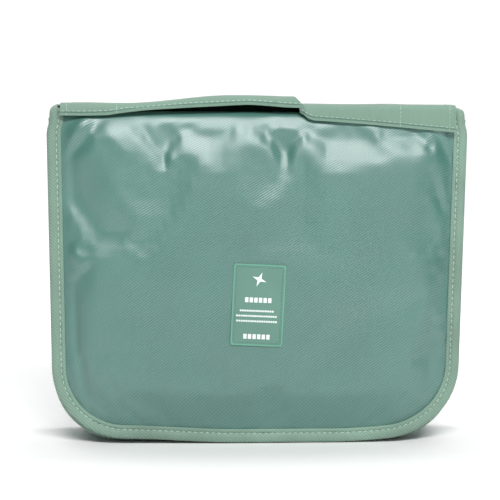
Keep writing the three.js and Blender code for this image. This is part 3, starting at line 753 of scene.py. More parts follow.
def simulate_cloth(points, pinned, fullness, pressure, frames=20):
    """The same grid of points after it has been let go with a little spare cloth."""
    rows, cols = points.shape[:2]
    cloth_obj = make_object("cloth_trial", points.reshape(-1, 3), grid_faces(rows, cols), satin)
    group = cloth_obj.vertex_groups.new(name="pinned")
    for i, weight in enumerate(pinned.ravel()):
        group.add([i], float(weight), "REPLACE")
    modifier = cloth_obj.modifiers.new("Cloth", "CLOTH")
    settings = modifier.settings
    settings.quality = 6
    settings.mass = 0.15
    settings.tension_stiffness = 20
    settings.compression_stiffness = 20
    settings.shear_stiffness = 8
    settings.bending_stiffness = 0.8
    settings.vertex_group_mass = "pinned"
    settings.shrink_min = -fullness
    settings.use_pressure = True
    settings.uniform_pressure_force = pressure
    settings.effector_weights.gravity = 0
    modifier.collision_settings.use_collision = False
    scene = bpy.context.scene
    for number in range(1, frames + 1):
        scene.frame_set(number)
    evaluated = cloth_obj.evaluated_get(bpy.context.evaluated_depsgraph_get())
    result = np.array([v.co[:] for v in evaluated.data.vertices], float).reshape(points.shape)
    scene.frame_set(1)
    bpy.data.objects.remove(cloth_obj)
    return result


def resample(values, rows, cols):
    """Linear upsampling of a grid of values to another number of rows and columns."""
    old_rows, old_cols = values.shape[:2]
    r = np.linspace(0, old_rows - 1, rows)
    c = np.linspace(0, old_cols - 1, cols)
    r0 = np.minimum(r.astype(int), old_rows - 2)
    c0 = np.minimum(c.astype(int), old_cols - 2)
    fr = (r - r0)[:, None, None]
    fc = (c - c0)[None, :, None]
    a = values[r0][:, c0] * (1 - fr) * (1 - fc) + values[r0][:, c0 + 1] * (1 - fr) * fc
    b = values[r0 + 1][:, c0] * fr * (1 - fc) + values[r0 + 1][:, c0 + 1] * fr * fc
    return a + b


SIM_COARSE = 3


def cover_grid(panel, arc_rows, rows, cols):
    x, z = panel.grid(arc_rows, rows, cols)
    narrow = 1 - 5 * MM / PANEL_HIGH[0] * smoothstep(z, COVER_TOP - 6 * MM, COVER_TOP)
    x = x * narrow
    return np.stack([x, cover_face(x, z), z], axis=2)


def make_cover():
    """The padded satin front: shaped, let go under the cloth simulation, then put on a fine grid."""
    panel = Panel(PANEL_HIGH[0], COVER.taper, PANEL_LOW[2], CREST_TOP, COVER.radius - 1.3 * MM)
    arc_rows, rows, cols = 30, 90, 168
    front = cover_grid(panel, arc_rows, rows, cols)
    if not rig.quick():
        coarse = cover_grid(panel, arc_rows // SIM_COARSE, rows // SIM_COARSE, cols // SIM_COARSE)
        free = COVER.inset(0, -10 * MM).edge_distance(coarse[:, :, 0], coarse[:, :, 2])
        pinned = 1 - smoothstep(free, 8 * MM, 13 * MM)
        pinned[-2:] = 1
        moved = simulate_cloth(coarse, pinned, SIM_FULLNESS, SIM_PRESSURE) - coarse
        moved = np.clip(moved, -SIM_CAP, SIM_CAP)
        front += resample(moved, *front.shape[:2])
    back = front.copy()
    back[:, :, 1] = np.maximum(PANEL_HIGH[1] - 0.05 * MM, front[:, :, 1] + 0.7 * MM)
    verts, faces = closed_sheet(front, back)
    obj = make_object("cover_satin", sag(verts), faces, satin)
    piece(obj, "satin", None, ["cover_outer_panel", "cover_foam"])
    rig.blend(obj, "spine", "cover", start=FOLD_START, end=FOLD_END)
    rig.padded(obj, fill=0.35)


def panel_area(panel):
    width = 2 * panel.half
    length = panel.top - panel.bottom
    corners = 2 * (1 - math.pi / 4) * panel.radius**2
    return width, length, width * length - panel.taper * (length + panel.radius) - corners


PANEL_RIPPLE = 0.3 * MM


def panel_sheet(name, panel, y_front, thickness, material, slot, body, node, settle=None):
    """A flat cloth that fills a panel, with slight ripples away from its edges."""
    x, z = panel.grid(10, 40, 72)
    wave = noise_field(x / MM, z / MM, 26.0, 5.5) + 0.4 * noise_field(x / MM, z / MM, 9.0, 2.5)
    fade = smoothstep(panel.edge_distance(x, z), 0, 12 * MM)
    front = np.stack([x, y_front + PANEL_RIPPLE * wave * fade, z], axis=2)
    back = front + np.array([0, thickness, 0])
    verts, faces = closed_sheet(front, back)
    obj = make_object(name, settle(verts) if settle else verts, faces, material)
    piece(obj, slot, body, [node])
    width, length, area = panel_area(panel)
    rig.sheet(obj, flat=(width, length), held="stretched", area=area)


# ------------------------------------------------------------------ binding tapes
def declare_tape(obj, path, half_gap):
    """A binding is one strip of cloth, folded round an edge along its length."""
    length = float(np.linalg.norm(np.diff(path, axis=0), axis=1).sum())
    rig.sheet(obj, flat=(2 * TAPE_WIDTH + math.pi * half_gap, length), held="folded")


TAPE_PLY = 1.0 * MM
TAPE_STEP = 3 * MM
TAPE_JITTER = 0.25 * MM


def tape_along(name, panel, y, half_gap, node):
    """Tape folded round the sides and bottom of a flat panel."""
    points, inward = panel.path(TAPE_STEP)
    path = np.stack([points[:, 0], np.full(len(points), y), points[:, 1]], axis=1)
    across = np.stack([inward[:, 0], np.zeros(len(points)), inward[:, 1]], axis=1)
    outward = np.tile([0.0, -1.0, 0.0], (len(points), 1))
    profile = folded_tape(TAPE_WIDTH, TAPE_PLY, half_gap)
    tape = sweep(profile, path, across, outward, jitter=TAPE_JITTER)
    obj = make_object(name, *tape, tape_cloth)
    piece(obj, "binding_tape", "bin", [node])
    declare_tape(obj, path, half_gap)
    return path, across


CORNER_TUCK = 1.8 * MM


def cover_edge_path():
    """The cover's edge line, carried on over the top corners and back along the spine's sides."""
    mid_y = (COVER_LOW[1] + COVER_HIGH[1]) / 2
    mid_z = (SPINE_LOW[2] + SPINE_HIGH[2]) / 2
    bend = mid_z - COVER_TOP
    points, inward = COVER.path(3 * MM)
    front = np.stack([points[:, 0], np.full(len(points), mid_y), points[:, 1]], axis=1)
    front_in = np.stack([inward[:, 0], np.zeros(len(points)), inward[:, 1]], axis=1)
    front_out = np.tile([0.0, -1.0, 0.0], (len(points), 1))
    turn = np.linspace(0, math.pi / 2, 9)
    y = np.concatenate([np.linspace(REAR, mid_y + bend, 16)[:-1], mid_y + bend - bend * np.sin(turn)[:-1]])
    z = np.concatenate([np.full(15, mid_z), mid_z - bend * (1 - np.cos(turn))[:-1]])
    lean = np.concatenate([np.zeros(15), turn[:-1]])
    tuck = CORNER_TUCK * (1 - smoothstep(front[:, 2], COVER_TOP - 9 * MM, COVER_TOP))
    front[:, 0] -= np.sign(front[:, 0]) * (CORNER_TUCK - tuck)
    left = np.stack([np.full(len(y), CORNER_TUCK - COVER_HALF), y, z], axis=1)
    left_in = np.tile([1.0, 0.0, 0.0], (len(y), 1))
    left_out = np.stack([np.zeros(len(y)), -np.sin(lean), np.cos(lean)], axis=1)
    flip = np.array([-1.0, 1.0, 1.0])
    path = np.concatenate([left, front, left[::-1] * flip])
    across = np.concatenate([left_in, front_in, left_in[::-1] * flip])
    outward = np.concatenate([left_out, front_out, left_out[::-1]])
    spine_gap = (SPINE_HIGH[2] - SPINE_LOW[2]) / 2 / TAPE_SWELL
    cover_gap = (COVER_HIGH[1] - COVER_LOW[1]) / 2 / TAPE_SWELL
    share = smoothstep(path[:, 1], mid_y, mid_y + 12 * MM)
    scale = 1 + share * (spine_gap / cover_gap - 1)
    return path, across, outward, scale, cover_gap


FOLD_START = (0, COVER_HIGH[1] + 5 * MM, SPINE_TOP - 1 * MM)
FOLD_END = (0, COVER_LOW[1] - 1 * MM, COVER_TOP - 3 * MM)


def sag(verts):
    """Points of the cover let down a little: its free edge hangs lower, and lowest on the right."""
    points = np.array(verts, float)
    x, z = points[:, 0], points[:, 2]
    drop = 1.0 * MM + 2.8 * MM * smoothstep(x, -80 * MM, -10 * MM)
    drop = drop - 3.2 * MM * smoothstep(x, 45 * MM, 105 * MM)
    points[:, 2] -= drop * np.clip(1 - z / COVER_TOP, 0, 1)
    return points


def make_cover_binding():
    path, across, outward, scale, gap = cover_edge_path()
    path = sag(path)
    profile = folded_tape(TAPE_WIDTH, 1.0 * MM, gap)
    obj = make_object(
        "cover_edge_tape", *sweep(profile, path, across, outward, scale, jitter=0.5 * MM), tape_cloth
    )
    piece(obj, "binding_tape", None, ["cover_binding", "spine_binding_left", "spine_binding_right"])
    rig.blend(obj, "spine", "cover", start=FOLD_START, end=FOLD_END)
    declare_tape(obj, path, gap)
    lift = (gap * scale * 0.66 + 0.12 * MM)[:, None] * outward
    line = path + across * (TAPE_WIDTH - STITCH_INSET) + lift
    rows = stitch_row(line, outward, pitch=3.4 * MM, length=2.3 * MM)
    # Beside the light stitches lies a dark cord: painted shade in the groove that the stitches pull in.
    shade_cord_line = line + across * 0.75 * MM
    for name, shape, material in (
        ("cover_edge_stitches", rows, thread),
        ("cover_edge_needle_line", seam_line(shade_cord_line, outward, 0.32 * MM), dark_thread),
    ):
        obj = make_object(name, *shape, material)
        piece(obj, "thread")
        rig.blend(obj, "spine", "cover", start=FOLD_START, end=FOLD_END)


TUCK_CENTRE = 3.0 * MM
TUCK_REACH = 2.6 * MM
TUCK_HEIGHT = 1.8 * MM
TUCK_DEPTH = 7 * MM


def make_corner_tucks():
    """The ends of the cover's tape, turned in at the spine's rear corners."""
    mid_z = (SPINE_LOW[2] + SPINE_HIGH[2]) / 2
    across = np.linspace(-0.98, 0.98, 9)
    height = TUCK_HEIGHT * np.sqrt(1 - across**2)
    edge = COVER_HALF - CORNER_TUCK - TUCK_CENTRE
    parts = []
    for side in (-1, 1):
        xs = edge * side + TUCK_REACH * across
        x, y = np.meshgrid(xs, np.linspace(REAR - TUCK_DEPTH, REAR - 0.3 * MM, 5))
        upper = np.stack([x, y, mid_z + np.tile(height, (5, 1))], axis=2)
        lower = np.stack([x, y, mid_z - np.tile(height, (5, 1))], axis=2)
        parts.append(closed_sheet(upper, lower))
    piece(make_object("spine_corner_tucks", *gather(parts), tape_cloth), "binding_tape", "spine")


# ------------------------------------------------------------------ handle strap
STRAP_HEM = STRAP_LOW[1]
STRAP_REAR = STRAP_HIGH[1]
STRAP_END = COVER_HALF - TAPE_WIDTH
KINK_TOP = 20.4 * MM
KINK_LOW = 25.6 * MM
STRAP_RISE = 5 * MM


def strap_lift(x):
    """How far the strap's top has bowed up from where it is sewn down."""
    return 4.8 * MM * smoothstep(x, -76 * MM, -14 * MM) - 0.5 * MM * smoothstep(x, -5 * MM, KINK_TOP)


def hem_lift(x):
    """The front hem of the bowed stretch turns up further than the top."""
    share = np.clip((x + 84 * MM) / (76 * MM), 0, 1) ** 0.75
    return 5.4 * MM * share - 1.8 * MM * smoothstep(x, -8 * MM, KINK_LOW) - strap_lift(x)


def strap_droop(x):
    """The front hem sinks lower towards the right end."""
    right = 3.2 * MM * smoothstep(x, 22 * MM, 30 * MM)
    right = right + 6.6 * MM * np.clip((x - 28 * MM) / (84 * MM), 0, 1) ** 1.2
    left = 1.2 * MM * smoothstep(-x, 60 * MM, 100 * MM)
    return right + left


def strap_section(droop):
    """Outer line of the strap from its front hem to its rear edge, as (y, z) without any rise."""
    top = SPINE_TOP + 1.8 * MM
    hem = SPINE_TOP - 3.9 * MM - droop
    ease = np.linspace(0, 1, 7)
    front = [
        (STRAP_HEM - 0.4 * MM * math.sin(math.pi * t), hem + (SPINE_TOP - 0.4 * MM - hem) * t)
        for t in ease
    ]
    roll = [(STRAP_HEM + 0.7 * MM, SPINE_TOP + 0.9 * MM), (STRAP_HEM + 2.2 * MM, SPINE_TOP + 1.6 * MM)]
    flat = [
        (STRAP_HEM + 4.2 * MM + (STRAP_REAR - STRAP_HEM - 4.2 * MM) * t, top)
        for t in np.linspace(0, 1, 6)
    ]
    return np.array(front + roll + flat)


def section_inward(section):
    """The way into the cloth at each point of a section given as (y, z)."""
    tangent = np.gradient(section, axis=0)
    tangent /= np.linalg.norm(tangent, axis=1)[:, None]
    return np.stack([tangent[:, 1], -tangent[:, 0]], axis=1)


STRAP_PLY = 1.4 * MM
FOLD_PLY = 0.7 * MM


def strap_strip(stations, lifts, shear, shift):
    """A band through x stations. shear moves the front hem along x against the top edge."""
    outer, inner = [], []
    for x, lift, lean, forward in zip(stations, lifts, shear, shift):
        raised = lift > STRAP_RISE * 0.3 or x < KINK_TOP
        droop = strap_droop(min(x, 0.0)) - hem_lift(x) if raised else strap_droop(x)
        section = strap_section(float(droop))
        into = section_inward(section)
        fall = np.clip((SPINE_TOP + 1.8 * MM - section[:, 1]) / (5.7 * MM), 0, 1)
        wave = 0.25 * MM * noise.noise(Vector((x * 45, 0.3, 1.7)))
        row_x = x + lean * fall
        y = section[:, 0] - forward + wave
        z = section[:, 1] + lift
        outer.append(np.stack([row_x, y, z], axis=1))
        inner.append(np.stack([row_x, y + into[:, 0] * STRAP_PLY, z + into[:, 1] * STRAP_PLY], axis=1))
    return np.array(outer), np.array(inner)


def strap_cut(outer):
    """Length and greatest width, and the area, of the flat cloth that a band is shaped from."""
    widths = np.linalg.norm(np.diff(outer[:, :, 1:], axis=1), axis=2).sum(axis=1)
    steps = np.abs(np.diff(outer[:, -1, 0]))
    area = float(((widths[1:] + widths[:-1]) / 2 * steps).sum())
    return (float(steps.sum()), float(widths.max())), area


def make_strap():
    seam = 10 * MM
    left_x = np.linspace(-STRAP_END, seam, 56)
    left = strap_strip(left_x, strap_lift(left_x), np.zeros(56), np.zeros(56))
    rise = float(strap_lift(KINK_TOP))
    fold = [(seam, float(strap_lift(seam)), 0, 0), (14, rise, 0.8, 0), (17, rise, 2.6, 0), (19.9, rise, 4.8, 0)]
    fold += [(20.4, rise, 5.2, 0), (20.9, rise * 0.86, 4.7, -0.3), (21.6, rise * 0.45, 1.4, -1.3)]
    fold += [(22.3, rise * 0.2, 0.8, -1.4), (23.0, 0, 2.2, -0.5), (23.8, 0, 1.7, 0), (27, 0, 0.6, 0), (31, 0, 0, 0)]
    xs = [seam] + [f[0] * MM for f in fold[1:]] + list(np.linspace(34 * MM, STRAP_END, 30))
    lifts = [f[1] for f in fold] + [0.0] * 30
    shear = [f[2] * MM for f in fold] + [0.0] * 30
    shift = [f[3] * MM for f in fold] + [0.0] * 30
    right = strap_strip(np.array(xs), lifts, shear, shift)
    sides = (
        ("left", left, ["handle_strap", "handle_end_left"], -1),
        ("right", right, ["handle_end_right"], 1),
    )
    for name, (outer, inner), nodes, side in sides:
        obj = make_object(f"strap_{name}", *closed_sheet(outer, inner), strap_cloth)
        piece(obj, "strap_cloth", None, nodes)
        start = (side * 84 * MM, STRAP_REAR, SPINE_TOP)
        end = (side * 45 * MM, STRAP_REAR, SPINE_TOP)
        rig.blend(obj, "spine", "handle", start=start, end=end)
        flat, area = strap_cut(outer)
        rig.sheet(obj, flat=flat, held="folded", rests_on=["spine_outer"], area=area)
        rows = [stitch_row(strap_line(outer, 2.6 * MM), (0.0, -1.0, 0.15), pitch=3.0 * MM, radius=0.2 * MM)]
        for x in (80.3, 108.5):
            rows.append(stitch_row(strap_cross(outer, side * x * MM), (0.0, -0.8, 0.6), pitch=2.4 * MM,
                                   length=1.8 * MM, radius=0.17 * MM))
        stitches = make_object(f"strap_{name}_stitches", *gather(rows), thread)
        piece(stitches, "thread", None, [f"handle_tack_{name}"])
        # A dark cord just under the strap's stitches: painted shade where the seam pulls in.
        shadow = strap_line(outer, 1.9 * MM) + np.array([0, 0.05 * MM, 0])
        shade_cord_shape = seam_line(shadow, (0.0, -1.0, 0.0), 0.22 * MM)
        shade_cord = make_object(f"strap_{name}_shade_cord_line", *shade_cord_shape, dark_thread)
        piece(shade_cord, "thread")
        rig.blend(shade_cord, "spine", "handle", start=start, end=end)
        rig.blend(stitches, "spine", "handle", start=start, end=end)


def strap_line(outer, height):
    """A line along the strap's front, a fixed height above its hem."""
    line = []
    for row in outer:
        hem = row[0][2]
        z = row[:7, 2]
        line.append([np.interp(hem + height, z, row[:7, k]) for k in range(3)])
    return np.array(line) + np.array([0, -0.12 * MM, 0])


def strap_cross(outer, x):
    """A line across the strap at one place along it."""
    row = outer[int(np.argmin(np.abs(outer[:, -1, 0] - x)))]
    line = row.copy()
    line[:, 0] += x - row[-1, 0]
    return line + np.array([0, -0.1 * MM, 0.1 * MM])


# ------------------------------------------------------------------ folds of cloth at the spine
def fold_sheet(name, rows, half, material, body_pair, start, end):
    """A strip of cloth as wide as the bag whose section is a list of (y, z)."""
    section = np.array(rows, float)
    xs = np.linspace(-half, half, 61)
    outer = np.array([[(x, y, z) for x in xs] for y, z in section])
    into = section_inward(section)
    inner = outer.copy()
    inner[:, :, 1] += (into[:, 0] * FOLD_PLY)[:, None]
    inner[:, :, 2] += (into[:, 1] * FOLD_PLY)[:, None]
    obj = make_object(name, *closed_sheet(outer, inner), material)
    piece(obj, "satin")
    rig.blend(obj, *body_pair, start=start, end=end)
    length = float(np.linalg.norm(np.diff(section, axis=0), axis=1).sum())
    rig.sheet(obj, flat=(2 * half, length), held="folded", rests_on=["spine_outer"])
    return obj


def make_folds():
    crest_y = PANEL_HIGH[1] - 0.8 * MM + CREST_DEPTH
    top = SPINE_TOP + 0.1 * MM
    tuck = [(crest_y - 0.5 * MM, CREST_TOP - 0.4 * MM), (crest_y + 2 * MM, CREST_TOP - 0.6 * MM)]
    tuck += [(crest_y + 5 * MM, top), (STRAP_REAR - 3 * MM, top + 0.1 * MM), (STRAP_REAR - 0.5 * MM, top)]
    # The cloth under the strap takes the near-black painted shade, so the gap under the bow reads dark.
    under = fold_sheet(
        "fold_under_strap", tuck, STRAP_END + 2 * MM, shadow_cloth, ("spine", "cover"),
        FOLD_START, FOLD_END,
    )
    for vertex in under.data.vertices:
        swell = smoothstep(vertex.co.y, crest_y + 2 * MM, STRAP_REAR - 2 * MM)
        vertex.co.z += 0.62 * swell * float(strap_lift(vertex.co.x)) * (vertex.co.x < KINK_TOP)
    back_y = REAR - 1.4 * MM
    back = [(back_y - 9 * MM, SPINE_TOP + 0.2 * MM), (back_y - 3 * MM, SPINE_TOP)]
    back += [(back_y - 0.2 * MM, SPINE_TOP - 1.6 * MM), (back_y + 0.6 * MM, SPINE_TOP - 5 * MM)]
    back += [(back_y + 0.4 * MM, BACK_HIGH[2] - 3 * MM)]
    fold_sheet(
        "back_fold_cloth", back, STRAP_END + 2 * MM, satin_plain, ("spine", "bin"),
        (0, REAR - 4 * MM, SPINE_TOP), (0, REAR + 1 * MM, BACK_HIGH[2] - 2 * MM),
    )


# ------------------------------------------------------------------ label
def make_label():
    low, high = node_box("label_patch")
    middle = (low + high) / 2
    half_w, half_h = 15 * MM, 23 * MM
    face = low[1]
    depth = high[1] - low[1]
    parts = {"label_rubber": [], "label_rim": [], "label_print": [], "label_stitches": []}

    def box(kind, x0, x1, z0, z1, y0, y1):
        corners = [(x, y, z) for x in (x0, x1) for y in (y0, y1) for z in (z0, z1)]
        faces = [(0, 1, 3, 2), (4, 6, 7, 5), (0, 4, 5, 1), (2, 3, 7, 6), (0, 2, 6, 4), (1, 5, 7, 3)]
        parts[kind].append((corners, faces))

    def rounded(kind, hw, hh, r, y0, y1, inner=None):
        ring = []
        for cx, cz, a0 in ((1, 1, 0), (-1, 1, 90), (-1, -1, 180), (1, -1, 270)):
            for k in range(7):
                a = math.radians(a0 + 15 * k)
                ring.append((cx * (hw - r) + r * math.cos(a), cz * (hh - r) + r * math.sin(a)))
        n = len(ring)
        soft = 0.25 * MM
        verts = [(x * (1 - soft / hw), y0, z * (1 - soft / hh)) for x, z in ring]
        verts += [(x, y0 + soft, z) for x, z in ring] + [(x, y1, z) for x, z in ring]
        faces = [tuple(range(n)), tuple(range(3 * n - 1, 2 * n - 1, -1))]
        for level in (0, n):
            for k in range(n):
                faces.append((level + k, level + (k + 1) % n, level + n + (k + 1) % n, level + n + k))
        if inner:
            hole = [(x * (1 - inner / hw), z * (1 - inner / hh)) for x, z in ring]
            verts = [(x, y0 + soft, z) for x, z in ring] + [(x * 0.99, y0, z * 0.99) for x, z in ring]
            verts += [(x * 1.01, y0, z * 1.01) for x, z in hole] + [(x, y0 + soft, z) for x, z in hole]
            verts += [(x, y1, z) for x, z in hole] + [(x, y1, z) for x, z in ring]
            faces = []
            for level in range(6):
                for k in range(n):
                    a, b = level * n, ((level + 1) % 6) * n
                    faces.append((a + k, a + (k + 1) % n, b + (k + 1) % n, b + k))
        parts[kind].append((verts, faces))

    rounded("label_rubber", half_w, half_h, 1.4 * MM, face + 0.3 * MM, face + depth)
    rounded(
        "label_rim", half_w - 0.1 * MM, half_h - 0.1 * MM, 1.3 * MM, face - 0.1 * MM, face + 0.5 * MM,
        1.1 * MM,
    )
    top = face + 0.05 * MM
    base = face + 0.4 * MM

    # A generic compass star, bars where words would go, and thin lines.
    star = []
    for k in range(8):
        r = (4.2 if k % 2 == 0 else 1.25) * MM
        a = math.radians(45 * k + 20)
        star.append((r * math.sin(a), r * math.cos(a) + 14.5 * MM))
    n = len(star)
    verts = [(x, top, z) for x, z in star] + [(x, base, z) for x, z in star]
    faces = [tuple(range(n)), tuple(range(2 * n - 1, n - 1, -1))]
    faces += [(k, (k + 1) % n, n + (k + 1) % n, n + k) for k in range(n)]
    parts["label_print"].append((verts, faces))
    for centre_z in (2.9 * MM, -17.6 * MM):
        for k in range(6):
            x = (-7.6 + 2.62 * k) * MM
            box("label_print", x, x + 1.9 * MM, centre_z - 1.35 * MM, centre_z + 1.35 * MM, top, base)
    for k, half in enumerate((10.2, 12.2, 12.0)):
        z = (-3.2 - 2.9 * k) * MM
        for j in range(int(half * 2 / 1.3)):
            x = (-half + 1.3 * j) * MM
            box("label_print", x, x + 0.95 * MM, z - 0.5 * MM, z + 0.5 * MM, top + 0.1 * MM, base)
    edge_w, edge_h = half_w - 2.0 * MM, half_h - 2.0 * MM
    loop = [(-edge_w, -edge_h), (edge_w, -edge_h), (edge_w, edge_h), (-edge_w, edge_h), (-edge_w, -edge_h)]
    for (x0, z0), (x1, z1) in zip(loop, loop[1:]):
        line = np.array([(x0 + (x1 - x0) * t, face + 0.3 * MM, z0 + (z1 - z0) * t) for t in np.linspace(0, 1, 5)])
        parts["label_stitches"].append(
            stitch_row(line, (0.0, -1.0, 0.0), pitch=2.3 * MM, length=1.6 * MM, radius=0.16 * MM)
        )
    tilt = math.radians(-2.5)
    under_x, under_z = np.meshgrid(np.linspace(low[0], high[0], 5), np.linspace(low[2], high[2], 7))
    cloth_y = float(cover_face(under_x, under_z).min())
    seat_y = cloth_y - 0.15 * MM - high[1]
    finishes = {"label_rubber": label_rubber, "label_rim": label_rim, "label_print": label_print,
                "label_stitches": dark_thread}
    for name, pieces in parts.items():
        verts, faces = gather(pieces)
        turned = []
        for x, y, z in verts:
            turned.append((
                middle[0] + x * math.cos(tilt) - z * math.sin(tilt),
                y + seat_y,
                middle[2] + x * math.sin(tilt) + z * math.cos(tilt),
            ))
        obj = make_object(name, sag(turned), faces, finishes[name], smooth=False)
        piece(obj, "label", "cover", ["label_patch"] if name == "label_rubber" else ())


# ------------------------------------------------------------------ spine, back and sides
def make_spine():
    """The padded top, its satin on the outside, tucked between its side tapes and under the strap."""
    half = STRAP_END + 1.5 * MM
    xs = np.linspace(-half, half, 73)
    ys = np.linspace(PANEL_HIGH[1] + 6 * MM, REAR - 3 * MM, 20)
    x, y = np.meshgrid(xs, ys)
    edge = np.minimum(y - ys[0], ys[-1] - y)
    side = half - np.abs(x)
    puff = smoothstep(np.minimum(edge, side), 0, 6 * MM)
    behind = smoothstep(y, STRAP_REAR, STRAP_REAR + 8 * MM)
    quilt = 0.35 * MM * noise_field(x / MM, y / MM, 22.0, 9.1)
    top = SPINE_TOP - 1.6 * MM + 1.5 * MM * puff + (1.4 * MM + quilt) * puff * behind
    under = np.full_like(top, SPINE_LOW[2] + 0.9 * MM)
    verts, faces = closed_sheet(np.stack([x, y, top], axis=2), np.stack([x, y, under], axis=2))
    obj = make_object("spine_pad", verts, faces, satin_plain)
    piece(obj, "satin", "spine", ["spine_outer", "spine_foam"])
    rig.padded(obj, fill=0.3)
    low, high = node_box("spine_lining")
    xs = np.linspace(low[0], high[0], 61)
    ys = np.linspace(low[1] + 3 * MM, high[1] - 3 * MM, 16)
    x, y = np.meshgrid(xs, ys)
    z = low[2] + 0.15 * MM * noise_field(x / MM, y / MM, 18.0, 4.0)
    sheet = np.stack([x, y, z], axis=2)
    obj = make_object(
        "spine_lining_cloth", *closed_sheet(sheet + np.array([0, 0, high[2] - low[2]]), sheet), lining_cloth
    )
    piece(obj, "lining_cloth", "spine", ["spine_lining"])
    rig.sheet(obj, flat=(high[0] - low[0], high[1] - low[1]), held="stretched")


def make_back():
    """The padded back: satin outside, puffed between its tapes, and its lining inside."""
    outer = BACK.inset(1.3 * MM)
    outer.top = BACK.top - 0.2 * MM
    x, z = outer.grid(12, 50, 90)
    d = BACK.inset(0, -30 * MM).edge_distance(x, z) - TAPE_WIDTH
    seam = node_box("back_outer_panel")[1][1]
    rise = 1 - (1 - np.clip(d / (24 * MM), 0, 1)) ** 2.2
    wrinkles = 0.5 * noise_field(x / MM, z / MM, 30.0, 1.3) + 0.25 * noise_field(x / MM, z / MM, 11.0, 6.1)
    y = seam + 2.6 * MM * rise + wrinkles * MM * smoothstep(d, 0, 10 * MM)
    inner = np.full_like(y, node_box("back_lining")[1][1] + 0.3 * MM)
    front = np.stack([x, y, z], axis=2)
    verts, faces = closed_sheet(front, np.stack([x, inner, z], axis=2))
    obj = make_object("back_satin", verts, faces, satin_plain)
    piece(obj, "satin", "bin", ["back_outer_panel", "back_foam"])
    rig.padded(obj, fill=0.3)
    low, high = node_box("back_lining")
    panel_sheet("back_lining_cloth", outer, low[1], high[1] - low[1], lining_cloth, "lining_cloth", "bin",
                "back_lining")


def make_linings_and_wall():
    low, high = node_box("cover_lining")
    inner = Panel(high[0], COVER.taper, low[2], high[2], COVER.radius - 1.3 * MM)
    panel_sheet("cover_lining_cloth", inner, low[1], high[1] - low[1], lining_cloth, "lining_cloth", "cover",
                "cover_lining", settle=sag)
    low, high = node_box("front_wall")
    wall = Panel(high[0], 0.0, low[2], high[2], WALL.radius - 1.3 * MM)
    panel_sheet("front_wall_cloth", wall, low[1], high[1] - low[1], satin_plain, "satin", "bin", "front_wall")


def u_line(half, bottom, top, radius, sides=22, turns=10, flat=36):
    """Evenly counted points down one side, along the bottom and up the other, whatever the height."""
    knee = bottom + radius
    side = np.linspace(top, knee, sides + 1)[:-1]
    left = np.stack([np.full(sides, -half), side], axis=1)
    angle = np.linspace(math.pi, 1.5 * math.pi, turns + 1)
    arc = np.stack([radius - half + radius * np.cos(angle), knee + radius * np.sin(angle)], axis=1)
    half_path = np.concatenate([left, arc])
    xs = np.linspace(radius - half, half - radius, flat)[1:-1]
    middle = np.stack([xs, np.full(len(xs), bottom)], axis=1)
    return np.concatenate([half_path, middle, half_path[::-1] * np.array([-1, 1])])


def make_gusset():
    """The side and bottom wall, one strip of satin whose top edges slope down to the front."""
    low, high = GUSSET_LOW, GUSSET_HIGH
    front_top, back_top = WALL_HIGH[2] - 1 * MM, node_box("gusset_left")[1][2] - 1 * MM
    thickness = 1.0 * MM
    outer, inner = [], []
    for share in np.linspace(0, 1, 14):
        y = low[1] + share * (high[1] - low[1])
        top = front_top + share * (back_top - front_top)
        slack = 1.6 * MM * math.sin(math.pi * share)
        line = u_line(high[0] - 0.3 * MM, low[2] + 0.3 * MM, top, WALL.radius - 0.3 * MM)
        deep = u_line(high[0] - 0.3 * MM - thickness, low[2] + 0.3 * MM + thickness, top,
                      WALL.radius - 0.3 * MM - thickness)
        inward = (deep - line) / np.maximum(np.linalg.norm(deep - line, axis=1), 1e-9)[:, None]
        bend = np.array([noise.noise(Vector((p[0] * 40, y * 60, p[1] * 40))) for p in line])
        resting = smoothstep(line[:, 1], low[2] + 2 * MM, low[2] + 20 * MM)
        push = (slack * resting * (0.8 + 0.5 * bend))[:, None] * inward
        outer.append(np.insert(line + push, 1, y, axis=1))
        inner.append(np.insert(deep + push, 1, y, axis=1))
    obj = make_object("gusset_cloth", *closed_sheet(np.array(outer), np.array(inner)), satin_plain)
    piece(obj, "satin", "bin", ["gusset_bottom", "gusset_left", "gusset_right"])
    lengths = np.linalg.norm(np.diff(outer[7], axis=0), axis=1).sum()
    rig.sheet(obj, flat=(high[1] - low[1], float(lengths)), held="stretched")


def make_edge_tapes():
    for name, panel, node, rear in (
        ("back_edge_tape", BACK, "back_binding", 1.0),
        ("wall_edge_tape", WALL, "front_binding", -1.0),
    ):
        low, high = node_box(node)
        half_gap = (high[1] - low[1]) / 2 / TAPE_SWELL
        y = (low[1] + high[1]) / 2
        path, across = tape_along(name, panel, y, half_gap, node)
        outward = (0.0, rear, 0.0)
        lift = np.array([0, rear * (half_gap * 0.66 + 0.12 * MM), 0])
        line = path + across * (TAPE_WIDTH - STITCH_INSET) + lift
        rows = stitch_row(line, outward, pitch=3.4 * MM, length=2.3 * MM)
        piece(make_object(name + "_stitches", *rows, thread), "thread", "bin")


NET_PITCH = 2.6 * MM
NET_STRAND = 0.6 * MM


